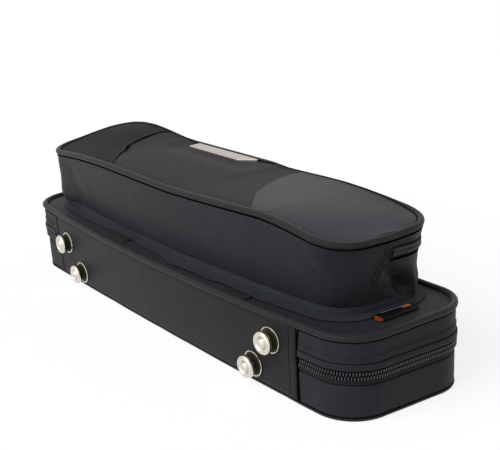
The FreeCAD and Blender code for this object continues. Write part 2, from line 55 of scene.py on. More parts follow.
back = Vector((
    math.sin(azimuth) * math.cos(elevation),
    -math.cos(azimuth) * math.cos(elevation),
    math.sin(elevation),
))
level = (-back).cross(Vector((0, 0, 1))).normalized()
upright = level.cross(-back)
camera = bpy.data.objects.new("camera", bpy.data.cameras.new("camera"))
camera.data.lens = 72.73
camera.data.sensor_width = 36.0
camera.data.clip_start = 0.05
axes = Matrix((
    math.cos(roll) * level + math.sin(roll) * upright,
    math.cos(roll) * upright - math.sin(roll) * level,
    back,
)).transposed().to_4x4()
camera.matrix_world = Matrix.Translation(aim + back * distance) @ axes
bpy.context.scene.collection.objects.link(camera)
bpy.context.scene.camera = camera
bpy.context.scene.view_settings.view_transform = "Standard"


# Studio: a white room with a wide soft light overhead, a weaker one on the spine side, and a pale
# sheet of paper on the table. Camera, mirror and glass rays see the paper and the room as white.
def hue(code):
    """An sRGB hex colour as the linear one that the shaders take."""
    parts = [int(code[i:i + 2], 16) / 255 for i in (1, 3, 5)]
    return [c / 12.92 if c <= 0.04045 else ((c + 0.055) / 1.055) ** 2.4 for c in parts] + [1.0]


def add(tree, kind, settings=None, **sockets):
    """Adds a node, sets its options, and fills or links its inputs by name or by i0, i1 and so on."""
    made = tree.nodes.new(kind)
    for name, value in (settings or {}).items():
        setattr(made, name, value)
    for name, value in sockets.items():
        key = int(name[1:]) if name[0] == "i" and name[1:].isdigit() else name.replace("_", " ")
        if isinstance(value, bpy.types.NodeSocket):
            tree.links.new(value, made.inputs[key])
        else:
            made.inputs[key].default_value = value
    return made


def new_material(name):
    material = bpy.data.materials.new(name)
    material.use_nodes = True
    material.node_tree.nodes.clear()
    return material, material.node_tree


def looked_at(tree):
    """One for rays from the camera, off a mirror or through glass, nought for all others."""
    rays = add(tree, "ShaderNodeLightPath").outputs
    mirror = add(tree, "ShaderNodeMath", {"operation": "MAXIMUM"},
                 i0=rays["Is Glossy Ray"], i1=rays["Is Transmission Ray"])
    return add(tree, "ShaderNodeMath", {"operation": "MAXIMUM"},
               i0=rays["Is Camera Ray"], i1=mirror.outputs[0]).outputs[0]


room = bpy.data.worlds.new("white_room")
room.use_nodes = True
tree = room.node_tree
tree.nodes.clear()
air = add(tree, "ShaderNodeBackground", Color=hue("#F2F2FA"), Strength=0.2)
wall = add(tree, "ShaderNodeBackground", Color=hue("#FFFFFF"), Strength=1.0)
mixed = add(tree, "ShaderNodeMixShader", i0=looked_at(tree), i1=air.outputs[0], i2=wall.outputs[0])
add(tree, "ShaderNodeOutputWorld", Surface=mixed.outputs[0])
bpy.context.scene.world = room

for name, strength, spread, direction in (
    ("overhead_light", 1.4, 50, (-0.08, -0.9, 0.7)),
    ("spine_side_light", 0.28, 40, (0.5, -1.0, 0.35)),
):
    lamp = bpy.data.lights.new(name, "SUN")
    lamp.energy = strength
    lamp.angle = math.radians(spread)
    holder = bpy.data.objects.new(name, lamp)
    holder.rotation_euler = Vector(direction).to_track_quat("Z", "Y").to_euler()
    bpy.context.scene.collection.objects.link(holder)

paper, tree = new_material("matt_white_paper")
sheet_white = add(tree, "ShaderNodeBsdfDiffuse", Color=hue("#E8E8E8"))
shaded = add(tree, "ShaderNodeBsdfDiffuse", Color=hue("#A8A8A8"))
glow = add(tree, "ShaderNodeEmission", Color=hue("#FFFFFF"), Strength=0.82)
bright = add(tree, "ShaderNodeAddShader", i0=shaded.outputs[0], i1=glow.outputs[0])
mixed = add(tree, "ShaderNodeMixShader", i0=looked_at(tree), i1=sheet_white.outputs[0], i2=bright.outputs[0])
add(tree, "ShaderNodeOutputMaterial", Surface=mixed.outputs[0])
bm = bmesh.new()
sheet_half = 6.0
bmesh.ops.create_grid(bm, x_segments=2, y_segments=2, size=sheet_half)
floor = bpy.data.objects.new("paper_floor", bpy.data.meshes.new("paper_floor"))
bm.to_mesh(floor.data)
bm.free()
floor.data.materials.append(paper)
bpy.context.scene.collection.objects.link(floor)


# Case body: four round corners of 30 mm, three straight sides, and a spine side that swells outwards
# with height because its board is steamed to a bow. The padded left end leans out with use.
def outline(half_length, near, far, radius, bow, shift=0.0):
    """A dense line round an outline from the middle of the spine side: places, directions, distances."""
    c = half_length - radius
    rho = (c * c + bow * bow) / (2 * bow)
    yc = rho - near - bow
    cy = yc - math.sqrt((rho - radius) ** 2 - c * c)
    lean = math.atan2(c, yc - cy)
    turn = math.tau
    arcs = (
        (0, yc, rho, 0, lean),
        (c, cy, radius, lean, turn / 4),
        (c, far - radius, radius, turn / 4, turn / 2),
        (-c, far - radius, radius, turn / 2, turn * 3 / 4),
        (-c, cy, radius, turn * 3 / 4, turn - lean),
        (0, yc, rho, turn - lean, turn),
    )
    places, outward = [], []
    for x, y, r, start, end in arcs:
        for angle in np.linspace(start, end, 80):
            outward.append((math.sin(angle), -math.cos(angle)))
            places.append((x + r * math.sin(angle) + shift, y - r * math.cos(angle)))
    places, outward = np.array(places), np.array(outward)
    distances = np.concatenate(([0], np.cumsum(np.linalg.norm(np.diff(places, axis=0), axis=1))))
    return places, outward, distances


def walk(line, steps, first, last):
    """Evenly spaced places between two distances round an outline, with their outward directions."""
    places, outward, distances = line
    at = np.mod(np.linspace(first, last, steps + 1), distances[-1])
    found = [np.interp(at, distances, column) for column in (*places.T, *outward.T)]
    return np.array(found[:2]).T, np.array(found[2:]).T


def spot_at(line, distance):
    """One place round an outline, and its outward direction."""
    places, outward = walk(line, 0, distance, distance)
    return places[0], outward[0]


def distance_at(line, x):
    """How far round the outline the spine side reaches a given x, negative to the left."""
    places, _, distances = line
    return math.copysign(float(np.interp(abs(x), places[:80, 0], distances[:80])), x)


half_length, half_width, corner = 222.5, 56.0, 30.0
padding = 5.0
bow_at_foot, bow_gain, bow_height = 2.3, 7.7, 62.0


def spine_bow(height):
    """How far the middle of the spine side stands out past its ends."""
    return bow_at_foot + bow_gain * max(height, 0.0) / bow_height


@lru_cache(maxsize=None)
def case_line(height):
    return outline(half_length, half_width, half_width, corner, spine_bow(height))


def smooth(share):
    share = np.clip(share, 0.0, 1.0)
    return share * share * (3 - 2 * share)


rim_near = 56.3


def rim_height(x, y):
    """Height of the lid's piping, which climbs towards the far side and most at its left corner."""
    across = np.clip((y + 58.0) / 114.0, 0.0, 1.0)
    return rim_near + (2.2 + 2.8 * np.clip((-x - 100.0) / 120.0, 0.0, 1.0)) * across


# Blender's vector noise differs from run to run unless it is seeded.
noise.seed_set(4)


def settle(rows, outs, ways):
    """Moves a strip on the case wall to where the padding holds it: the left end leans outwards, the
    bottom edge is rolled under, the top edge follows the piping, and the cloth has shallow dents."""
    x, y, z = (rows[..., k] for k in range(3))
    reach = np.clip((np.asarray(outs) + padding) / 4.0, 0.0, 1.0)[None, :]
    roll_radius = 1.5
    rolled = np.clip(roll_radius - z, 0.0, roll_radius)
    inward = (roll_radius - np.sqrt(roll_radius ** 2 - rolled ** 2)) * reach
    shaped = rows.copy()
    shaped[..., 0] = x - 0.15 * (z - 34.0) * smooth((-x - 120.0) / 75.0) * reach - ways[:, None, 0] * inward
    shaped[..., 1] = y - ways[:, None, 1] * inward
    shaped[..., 2] = z + (rim_height(x, y) - rim_near) * smooth((z - 46.0) / 8.0)
    for i in range(rows.shape[0]):
        for j in range(rows.shape[1]):
            shaped[i, j] += np.array(noise.noise_vector(Vector(rows[i, j]) / 24.0)) * (0.22 * reach[0, j])
    return shaped


def cloth(rows, closed_across=True):
    """A strip of cloth whose crossing i, j lies at rows[i][j] in millimetres. Its seams are closed and
    its UV map holds the distances along and across it, in millimetres."""
    rows = np.asarray(rows, float)
    if closed_across:
        rows = np.concatenate((rows, rows[:, :1]), axis=1)
    along, across = rows.shape[0] - 1, rows.shape[1] - 1
    u = np.concatenate(([0], np.cumsum(np.linalg.norm(np.diff(rows, axis=0), axis=2).max(axis=1))))
    v = np.concatenate(([0], np.cumsum(np.linalg.norm(np.diff(rows, axis=1), axis=2).mean(axis=0))))
    bm = bmesh.new()
    bmesh.ops.create_grid(bm, x_segments=along, y_segments=across, size=1.0)
    threads = bm.loops.layers.uv.new("UVMap")
    crossing = {}
    for vert in bm.verts:
        i = round((vert.co.x + 1) / 2 * along)
        j = round((vert.co.y + 1) / 2 * across)
        crossing[vert] = (u[i], v[j])
        vert.co = rows[i, j]
    for face in bm.faces:
        for loop in face.loops:
            loop[threads].uv = crossing[loop.vert]
    bmesh.ops.remove_doubles(bm, verts=bm.verts, dist=0.0005)
    rims = [edge for edge in bm.edges if edge.is_boundary]
    if rims:
        bmesh.ops.holes_fill(bm, edges=rims, sides=0)
    bmesh.ops.recalc_face_normals(bm, faces=bm.faces)
    return bm


def place(name, shapes, materials, body=None, node=(), crease=50):
    """Joins one or more meshes made in millimetres into a finished piece in metres."""
    shapes = shapes if isinstance(shapes, (list, tuple)) else [shapes]
    whole = bmesh.new()
    for shape in shapes:
        part = bpy.data.meshes.new("part")
        shape.to_mesh(part)
        shape.free()
        whole.from_mesh(part)
        bpy.data.meshes.remove(part)
    bmesh.ops.scale(whole, vec=(mm, mm, mm), verts=whole.verts)
    mesh = bpy.data.meshes.new(name)
    whole.to_mesh(mesh)
    whole.free()
    mesh.shade_smooth()
    mesh.set_sharp_from_angle(angle=math.radians(crease))
    for material in materials if isinstance(materials, tuple) else (materials,):
        mesh.materials.append(material)
    made = bpy.data.objects.new(name, mesh)
    bpy.context.scene.collection.objects.link(made)
    if body:
        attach(made, body)
    if node:
        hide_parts(*([node] if isinstance(node, str) else node))
    return made


wall_steps = 520


def swept(section, ends=0.0, steps=wall_steps, spine_only=False):
    """Rows for a strip laid round the case. The section lists (height, outward) places across it;
    ends gives the x on the spine side where it stops, going round by the far side or, with
    spine_only, along the spine side."""
    columns = []
    for height, out in section:
        line = case_line(height)
        first = distance_at(line, ends)
        if spine_only:
            places, outward = walk(line, steps, -first, first)
        else:
            places, outward = walk(line, steps, first, line[2][-1] - first)
        columns.append(np.column_stack((places + outward * out, np.full(steps + 1, height))))
    return settle(np.stack(columns, axis=1), [out for _, out in section], outward)


def pipe(centres, outward, radius, sides=12):
    """Rows for a round cord: centres in millimetres, and the outward direction at each."""
    rows = []
    for k in range(sides):
        angle = 2 * math.pi * k / sides
        lift = np.array((0, 0, math.sin(angle) * radius))
        rows.append(centres + outward * (math.cos(angle) * radius) + lift)
    return np.stack(rows, axis=1)


def upright_ways(outward):
    return np.column_stack((outward, np.zeros(len(outward))))


# Cover cloth: 600-denier nylon in a plain weave, dyed black and coated inside, dull with a faint grey
# sheen. Its yarns are 0.55 mm apart, drawn at three times that so that they show at all.
def woven(name, dark, pale, pitch, depth, rough=0.6, sheen=0.05, slant=0.0, zigzag=0.0, ribs=None, mottle=0.3,
          shine=0.15):
    """A woven cloth read from the piece's thread distances in millimetres."""
    material, tree = new_material(name)
    where = add(tree, "ShaderNodeTexCoord").outputs["Object"]
    if ribs:
        split = add(tree, "ShaderNodeSeparateXYZ", Vector=where)
        part_x = add(tree, "ShaderNodeMath", {"operation": "MULTIPLY"}, i0=split.outputs["X"],
                     i1=ribs[0] * 1000)
        first = add(tree, "ShaderNodeMath", {"operation": "MULTIPLY_ADD"},
                    i0=split.outputs["Y"], i1=ribs[1] * 1000, i2=part_x.outputs[0]).outputs[0]
        part_y = add(tree, "ShaderNodeMath", {"operation": "MULTIPLY"}, i0=split.outputs["Y"],
                     i1=ribs[0] * 1000)
        second = add(tree, "ShaderNodeMath", {"operation": "MULTIPLY_ADD"},
                     i0=split.outputs["X"], i1=-ribs[1] * 1000, i2=part_y.outputs[0]).outputs[0]
    else:
        threads = add(tree, "ShaderNodeUVMap", {"uv_map": "UVMap"})
        split = add(tree, "ShaderNodeSeparateXYZ", Vector=threads.outputs[0])
        first, second = split.outputs["X"], split.outputs["Y"]
    if zigzag:
        second = add(tree, "ShaderNodeMath", {"operation": "PINGPONG"}, i0=second, i1=zigzag).outputs[0]
    if slant:
        first = add(tree, "ShaderNodeMath", {"operation": "MULTIPLY_ADD"}, i0=second, i1=slant,
                    i2=first).outputs[0]
    waves = []
    for travel, step in ((first, pitch[0]), (second, pitch[1])):
        turned = add(tree, "ShaderNodeMath", {"operation": "MULTIPLY"}, i0=travel, i1=math.tau / step)
        waves.append(add(tree, "ShaderNodeMath", {"operation": "SINE"}, i0=turned.outputs[0]).outputs[0])
    if slant or ribs:
        raised = add(tree, "ShaderNodeMath", {"operation": "MULTIPLY_ADD"}, i0=waves[1], i1=0.3, i2=waves[0])
    else:
        raised = add(tree, "ShaderNodeMath", {"operation": "MULTIPLY"}, i0=waves[0], i1=waves[1])
    yarn = add(tree, "ShaderNodeMapRange", i0=raised.outputs[0], i1=-1.0, i2=1.0).outputs[0]
    patchy = add(tree, "ShaderNodeTexNoise", Vector=where, Scale=38.0, Detail=5.0, Roughness=0.62)
    lint = add(tree, "ShaderNodeTexNoise", Vector=where, Scale=900.0, Detail=2.0)
    tone = add(tree, "ShaderNodeMath", {"operation": "MULTIPLY_ADD"},
               i0=patchy.outputs["Fac"], i1=mottle, i2=-mottle / 2)
    shade = add(tree, "ShaderNodeMath", {"operation": "MULTIPLY_ADD"}, i0=lint.outputs["Fac"], i1=0.35,
                i2=tone.outputs[0])
    mixed = add(tree, "ShaderNodeMath", {"operation": "MULTIPLY_ADD", "use_clamp": True},
                i0=yarn, i1=0.7, i2=shade.outputs[0])
    colour = add(tree, "ShaderNodeMix", {"data_type": "RGBA"}, i0=mixed.outputs[0], i6=hue(dark),
                 i7=hue(pale))
    bump = add(tree, "ShaderNodeBump", Height=yarn, Strength=depth, Distance=0.0004)
    surface = add(tree, "ShaderNodeBsdfPrincipled", Base_Color=colour.outputs[2], Normal=bump.outputs[0],
                  Roughness=rough, Sheen_Weight=sheen, Sheen_Roughness=0.4, Specular_IOR_Level=shine)
    add(tree, "ShaderNodeOutputMaterial", Surface=surface.outputs[0])
    return material


nylon_oxford = woven("nylon_oxford_600_denier", "#17171A", "#3A3A40", (1.7, 1.7), 0.4)
piping_nylon = woven("nylon_piping_bias_strip", "#1E1E21", "#363639", (1.3, 1.3), 0.2, rough=0.5, sheen=0.1,
                     mottle=0.2)


# Base cover: nylon over a 5 mm padded wall, sewn into a tray and turned in at its top edge. A narrow
# piping is rolled under along the seam between the wall and the bottom.
base_section = [
    (0.3, -3.4), (0.35, -1.2), (0.6, -0.3), (1.1, 0.0), (1.7, 0.05), (2.4, 0.0), (2.8, -0.2), (3.2, -0.05),
    (5.0, 0.0), (9.0, 0.05), (14.0, 0.05), (19.0, 0.0), (22.6, -0.05), (24.0, -0.1), (24.5, -0.6),
    (24.6, -1.6), (24.6, -4.4), (24.0, -5.0), (12.0, -5.0), (2.4, -5.0), (0.35, -5.0),
]


def near_and_far(edge, split):
    """The parts of an outline before and behind a line across it, each from left to right."""
    before = edge[:, 1] < split
    return [part[np.argsort(part[:, 0])] for part in (edge[before], edge[~before])]


def across_top(line, level_at, steps, edge_in, across=24, under=1.0):
    """Rows for a flat panel inside an outline: columns run from the spine side to the far side and
    back underneath. level_at(x, y) gives the height of its upper face."""
    places, outward, _ = line
    edge = places - outward * edge_in
    half = (edge[:, 0].max() - edge[:, 0].min()) / 2
    middle = (edge[:, 0].max() + edge[:, 0].min()) / 2
    near_part, far_part = near_and_far(edge, edge[:, 1].mean())
    rows = []
    for share in np.linspace(-1, 1, steps + 1):
        x = middle + half * math.sin(share * math.pi / 2) * 0.99995
        low = np.interp(x, near_part[:, 0], near_part[:, 1])
        high = np.interp(x, far_part[:, 0], far_part[:, 1])
        ys = low + (high - low) * (0.5 - 0.5 * np.cos(np.linspace(0, math.pi, across + 1)))
        tops = [level_at(x, y) for y in ys]
        upper = [(x, y, z) for y, z in zip(ys, tops)]
        lower = [(x, y, z - under) for y, z in zip(ys[::-1], tops[::-1])]
        rows.append(upper + lower)
    return np.array(rows)


base_wall = cloth(swept(base_section))
base_bottom = cloth(across_top(case_line(1.0), lambda x, y: 2.0, 120, 4.9, 12, 1.7))
place("base_cloth", [base_wall, base_bottom], nylon_oxford, "base", "base_cover")
welt_rows = [(0.3, -1.6), (0.25, -0.6), (0.4, 0.1), (0.9, 0.3), (1.7, 0.4), (2.3, 0.3), (2.5, -0.1),
             (2.2, -0.6), (1.2, -1.2)]
place("base_welt", cloth(swept(welt_rows)), piping_nylon, "base", "base_piping")


# Lid cover: the same nylon over padding. Behind the spine panel it goes down to the hinge, and round
# the other sides it ends in the zip flap's seam. Its piping is a 5 mm cord in a bias-cut strip.
lid_section = [
    (35.3, -4.8), (35.3, -0.9), (35.8, -0.2), (40.0, 0.0), (45.6, 0.0), (49.5, 0.1), (52.0, 0.1),
    (53.3, -0.1), (54.0, -0.7), (54.2, -1.6), (54.4, -4.9), (50.0, -5.0), (42.0, -5.0),
]
skirt_section = [(24.9, -4.9), (24.9, -0.6), (25.6, 0.0), (30.0, 0.0), (35.4, 0.0), (35.4, -4.9),
                 (30.0, -5.0)]
skirt_end = 171.8
skirt = swept(skirt_section, skirt_end, 120, spine_only=True)
lid_wall = cloth(swept(lid_section))
place("lid_cloth", [lid_wall, cloth(skirt)], nylon_oxford, "lid", "lid_cover")

rim = case_line(56.5)
cord_radius, cord_sides = 2.4, 16
places, outward = walk(rim, wall_steps, 0, rim[2][-1])
centres = np.column_stack((places - outward * 0.9, np.full(wall_steps + 1, rim_near)))
welt = settle(pipe(centres, upright_ways(outward), cord_radius, cord_sides), [0] * cord_sides, outward)
place("lid_welt", cloth(welt), piping_nylon, "lid", "lid_piping")

# Lid top: heavy nylon with ribs aslant, 1.2 mm apart, over thin padding, lowest beside the piping.
ribbed_nylon = woven("nylon_ribbed_ottoman", "#151518", "#38383E", (2.0, 1.5), 0.45, ribs=(0.58, 0.81),
                     mottle=0.2)


def from_edge(line, x, y):
    """How far inside an outline a place is."""
    places, _, _ = line
    return float(np.min(np.hypot(places[::4, 0] - x, places[::4, 1] - y)))


lid_middle = 58.15


def lid_level(x, y):
    """Height of the lid's top, lower beside its piping."""
    edge = float(rim_height(x, y)) - 0.6
    return lid_middle + (edge - lid_middle) * math.exp(-max(from_edge(rim, x, y) - 3.0, 0) / 6.0)


lid_top = across_top(rim, lid_level, 170, 2.6, 30, 1.2)
lid_top = settle(lid_top, [0] * lid_top.shape[1], np.zeros((len(lid_top), 2)))
lid_top[..., 2] -= rim_height(lid_top[..., 0], lid_top[..., 1]) - rim_near
place("lid_top_cloth", cloth(lid_top), ribbed_nylon, "lid", ("lid_top_panel", "lid_padding"))


# Spine: one panel of smooth nylon from the lid's piping to the bottom of the base. It is the hinge,
# so it bends as the lid opens. Its ends are bound with folded tape, sewn through with black thread,
# and beyond the tape a narrow black strip is painted shade in the crevice where the zip's ends are tucked in.
spine_nylon = woven("nylon_spine_panel", "#171719", "#2C2C30", (1.2, 1.2), 0.25, rough=0.55)
spine_heights = [
    3.4, 3.9, 5.0, 7.0, 9.5, 12.0, 15.0, 18.0, 20.5, 22.3, 23.6, 24.3, 24.75, 25.2, 26.0, 27.3, 29.5, 33.0,
    37.0, 41.0, 45.0, 48.5, 51.5, 53.2, 54.0, 54.3,
]


def spine_strip(stops, inner=0.15, wander=None):
    """Rows for a strip on the spine side. Each stop gives its x and how far its outer face stands out;
    the strip thins towards its top and bottom, where it is sewn in."""
    places, ways = [], []
    round_edge = [(height, True) for height in spine_heights]
    round_edge += [(height, False) for height in reversed(spine_heights)]
    for x, out in stops:
        row = []
        for height, upper in round_edge:
            ease = float(smooth(min(height - 2.9, 54.8 - height) / 1.6))
            shift = np.interp(height, *zip(*wander)) * math.copysign(1, x) if wander else 0.0
            line = case_line(height)
            at, way = spot_at(line, distance_at(line, x + shift))
            row.append((*(at + way * (inner + (out - inner) * ease if upper else inner)), height))
        places.append(row)
        ways.append(way)
    return settle(np.array(places), [inner] * len(places[0]), np.array(ways))


hinge_height = 24.7


def hinge_roll(rows):
    """The cloth rolls in a little along the hinge line."""
    rolled = rows.copy()
    rolled[..., 1] += 0.15 * np.exp(-((rows[..., 2] - hinge_height) / 2.0) ** 2)
    return rolled


panel_stops = [(x, 1.2) for x in np.linspace(-171.5, 171.5, 150)]
spine_cloth = place(
    "spine_cloth", cloth(hinge_roll(spine_strip(panel_stops))), spine_nylon,
    None, ("base_spine_panel", "lid_spine_panel"),
)
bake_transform(spine_cloth)
binding_stops = [(168.4, 0.9), (168.7, 1.35), (169.6, 1.6), (171.5, 1.65), (173.2, 1.55), (174.0, 1.2),
                 (174.2, 0.4)]
bindings = [cloth(spine_strip([(side * x, out) for x, out in binding_stops])) for side in (-1, 1)]
grosgrain = woven("grosgrain_binding", "#18181A", "#303034", (1.4, 6.0), 0.4)
spine_binding = place("spine_binding", bindings, grosgrain, None,
                      ("base_spine_bindings", "lid_spine_bindings"))
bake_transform(spine_binding)


def speckled(name, dark, pale, scale, detail, **finish):
    """A surface whose tone wanders between two colours, with the shader's own values in finish."""
    material, tree = new_material(name)
    where = add(tree, "ShaderNodeTexCoord")
    speckle = add(tree, "ShaderNodeTexNoise", Vector=where.outputs["Object"], Scale=scale, Detail=detail)
    tint = add(tree, "ShaderNodeMix", {"data_type": "RGBA"},
               i0=speckle.outputs["Fac"], i6=hue(dark), i7=hue(pale))
    surface = add(tree, "ShaderNodeBsdfPrincipled", Base_Color=tint.outputs[2], **finish)
    add(tree, "ShaderNodeOutputMaterial", Surface=surface.outputs[0])
    return material


# Thread: bonded polyester, black, dull, with a twist of 0.4 mm. It is painted darker than the cloth,
# so that each stitch also stands in for the shade of its sunken hole: painted shade.
thread_dark_for_shade = speckled("black_thread_with_painted_shade", "#08080A", "#161618", 2500.0, 1.0,
                        Roughness=0.7, Specular_IOR_Level=0.15)


def repeated(shape, spots):
    """Copies of one small mesh at many places, as one mesh."""
    whole = bmesh.new()
    for spot in spots:
        copy = shape.copy()
        copy.transform(spot)
        whole.from_mesh(copy)
        bpy.data.meshes.remove(copy)
    bpy.data.meshes.remove(shape)
    return whole


def small_bar(along, across, tall, bevel):
    """A short bar with rounded edges, as long as a stitch or one turn of a zip's coil."""
    bar = bmesh.new()
    bmesh.ops.create_cube(bar, size=1.0)
    bmesh.ops.scale(bar, vec=(along, across, tall), verts=bar.verts)
    bmesh.ops.bevel(bar, geom=bar.edges[:], offset=bevel, segments=1, affect="EDGES", profile=0.5,
                    material=-1)
    mesh = bpy.data.meshes.new("small_bar")
    bar.to_mesh(mesh)
    bar.free()
    return mesh


def stitches(path, ways, pitch=2.6, length=1.7, width=0.6):
    """Stitches along a path in millimetres, lying flat against the cloth."""
    path, ways = np.array(path, float), np.array(ways, float)
    travel = np.concatenate(([0], np.cumsum(np.linalg.norm(np.diff(path, axis=0), axis=1))))
    spots = []

    def along(table, at):
        return Vector([np.interp(at, travel, column) for column in table.T])

    for at in np.arange(pitch / 2, travel[-1], pitch):
        here, ahead, way = along(path, at), along(path, at + 0.5), along(ways, at)
        run = (ahead - here if at + 0.5 < travel[-1] else Vector(path[-1] - path[-2])).normalized()
        side = run.cross(way).normalized()
        spots.append(Matrix.Translation(here) @ Matrix((run, side, side.cross(run))).transposed().to_4x4())
    return repeated(small_bar(length, width, 0.5, 0.15), spots)


# Black cloth for thin strips that stand in for the shade in creases, seams and gaps: painted shade.
painted_shade_cloth = woven("painted_shade_strip", "#0A0A0C", "#131315", (1.4, 1.4), 0.2, sheen=0.0, shine=0.0)


def shade_ring(line, height_at, out, half=0.45, ends=0.0):
    """Rows for a thin black strip that shows as a line all the way round: painted shade along a seam."""
    first = distance_at(line, ends)
    places, outward = walk(line, wall_steps, first, line[2][-1] - first)
    heights = np.array([height_at(x, y) for x, y in places])
    rows = [
        np.column_stack((places + outward * (out + o), heights + z * half))
        for z, o in ((-1.0, -0.3), (-0.8, 0.0), (0.0, 0.1), (0.8, 0.0), (1.1, -0.3))
    ]
    return settle(np.stack(rows, axis=1), [0] * 5, outward)


# Painted shade: black lines under the lid's piping and along the base's bottom seam, where shade falls.
lid_shade_heights = (
    (-200, 53.6), (-164, 53.0), (-141, 52.2), (-119, 52.0), (-98, 52.8), (-79, 53.1), (-43, 53.8), (20, 53.4),
    (47, 53.6), (73, 53.5), (96, 52.8), (119, 53.7), (200, 53.8),
)
lid_shade_rows = shade_ring(case_line(54.0), lambda x, y: np.interp(x, *zip(*lid_shade_heights)), 0.25)
place("lid_piping_painted_shade", cloth(lid_shade_rows), painted_shade_cloth, "lid")
base_shade_height = 2.9
base_shade_rows = shade_ring(case_line(base_shade_height), lambda x, y: base_shade_height, 0.12)
place("base_bottom_painted_shade", cloth(base_shade_rows), painted_shade_cloth, "base")

# Painted shade: a narrow black strip in the crevice beyond each binding, wandering as the crevice does.
shade_wander = ((3, 1.3), (5, 0.9), (7.6, -0.5), (13, -0.2), (22, -0.2), (30.5, -1.4), (36, 0.0), (46, -0.8),
               (54, 1.6))
shade_stops = [(174.0, 0.3), (174.2, 0.6), (174.65, 0.65), (175.0, 0.6), (175.2, 0.3)]
thread_x, thread_out = 167.8, 1.35
thread_rows, crevice_shade_rows = [], []
for side in (-1, 1):
    heights = np.linspace(4.8, 53.2, 30)
    spots = [spot_at(case_line(h), distance_at(case_line(h), side * thread_x)) for h in heights]
    ways = np.array([way for _, way in spots])
    path = np.array([[(*(at + way * thread_out), h)] for (at, way), h in zip(spots, heights)])
    path = hinge_roll(settle(path, [0], ways))[:, 0]
    thread_rows.append(stitches(path, upright_ways(ways)))
    crevice_shade_rows.append(cloth(spine_strip([(side * x, out) for x, out in shade_stops], 0.05, shade_wander)))
spine_thread = place("spine_thread", thread_rows, thread_dark_for_shade)
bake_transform(spine_thread)
spine_seam = place("spine_seam", crevice_shade_rows, painted_shade_cloth)
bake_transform(spine_seam)


# Feet: brass studs turned on a lathe, polished and nickel plated. The recess under the cap is painted dull
# olive for the shade and dark reflections that fall in it. Each is riveted through the spine board with a
# zinc washer inside.
def metal(name, colour, scale, detail, shiniest, dullest, stretch=None):
    """A metal whose gloss wanders between two roughnesses, along its brushing where it is stretched."""
    material, tree = new_material(name)
    where = add(tree, "ShaderNodeTexCoord").outputs["Object"]
    if stretch:
        where = add(tree, "ShaderNodeMapping", Vector=where, Scale=stretch).outputs[0]
    wear = add(tree, "ShaderNodeTexNoise", Vector=where, Scale=scale, Detail=detail)
    gloss = add(tree, "ShaderNodeMapRange", i0=wear.outputs["Fac"], i3=shiniest, i4=dullest)
    surface = add(tree, "ShaderNodeBsdfPrincipled", Base_Color=hue(colour), Metallic=1.0,
                  Roughness=gloss.outputs[0])
    add(tree, "ShaderNodeOutputMaterial", Surface=surface.outputs[0])
    return material


nickel = metal("polished_nickel_plate", "#D9D2C6", 120.0, 3.0, 0.1, 0.24)
# Painted shade and dark reflection for the recess under each cap.
recess_shade = speckled("painted_recess_shade_and_reflection", "#24211A", "#45402F", 500.0, 3.0, Metallic=0.6, Roughness=0.42)
zinc = metal("zinc_plated_steel", "#B9BBBE", 400.0, 4.0, 0.3, 0.5)


def finish_node(name, material):
    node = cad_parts[name]
    node.data.materials.clear()
    node.data.materials.append(material)


foot_profile = [
    (0, -10.4), (2.3, -10.4), (2.5, -10.1), (2.5, -0.3), (9.0, -0.3), (9.45, 0.2), (9.55, 0.8), (9.3, 1.3),
    (8.95, 1.4), (8.6, 1.2), (8.2, 0.8), (7.6, 0.75), (7.3, 1.0), (7.2, 2.0), (7.2, 4.6), (7.3, 5.4),
    (7.6, 5.7), (8.0, 5.9), (8.25, 6.5), (8.2, 7.6), (7.8, 8.6), (7.0, 9.2), (6.0, 9.4), (5.2, 9.0),
    (4.5, 8.0), (4.1, 7.6), (3.7, 8.2), (3.3, 9.4), (2.4, 10.1), (1.1, 10.35), (0, 10.4),
]
bow_half = half_length - corner
panel_out = 1.25
for name, body, node, spots in (
    ("base_studs", "base", "base_feet", ((-123.1, 13.6), (129.7, 15.0))),
    ("lid_studs", "lid", "lid_feet", ((-147.4, 35.2), (150.0, 39.0))),
):
    studs = []
    for x, z in spots:
        share = 1 - (x / bow_half) ** 2
        bow = spine_bow(z)
        way = Vector((2 * bow * x / bow_half ** 2, -1.0, -bow_gain / bow_height * share)).normalized()
        stud = bmesh.new()
        before = None
        for r, h in foot_profile:
            vert = stud.verts.new((r, 0, h))
            if before:
                stud.edges.new((before, vert))
            before = vert
        bmesh.ops.spin(stud, geom=stud.verts[:] + stud.edges[:], axis=(0, 0, 1), cent=(0, 0, 0),
                       angle=math.tau, steps=48, use_merge=True)
        bmesh.ops.remove_doubles(stud, verts=stud.verts, dist=0.001)
        bmesh.ops.recalc_face_normals(stud, faces=stud.faces)
        for face in stud.faces:
            middle = face.calc_center_median()
            # Faces in the recess under the cap take the second material: painted shade and reflection.
            face.material_index = int(0.7 < middle.z < 5.8 and math.hypot(middle.x, middle.y) < 8.5)
        seat = Matrix.Translation((x, -(half_width + bow * share) - panel_out, z))
        stud.transform(seat @ way.to_track_quat("Z", "Y").to_matrix().to_4x4())
        studs.append(stud)
    place(name, studs, (nickel, recess_shade), body, node, crease=40)
for name in ("base_foot_washers", "lid_foot_washers"):
    finish_node(name, zinc)


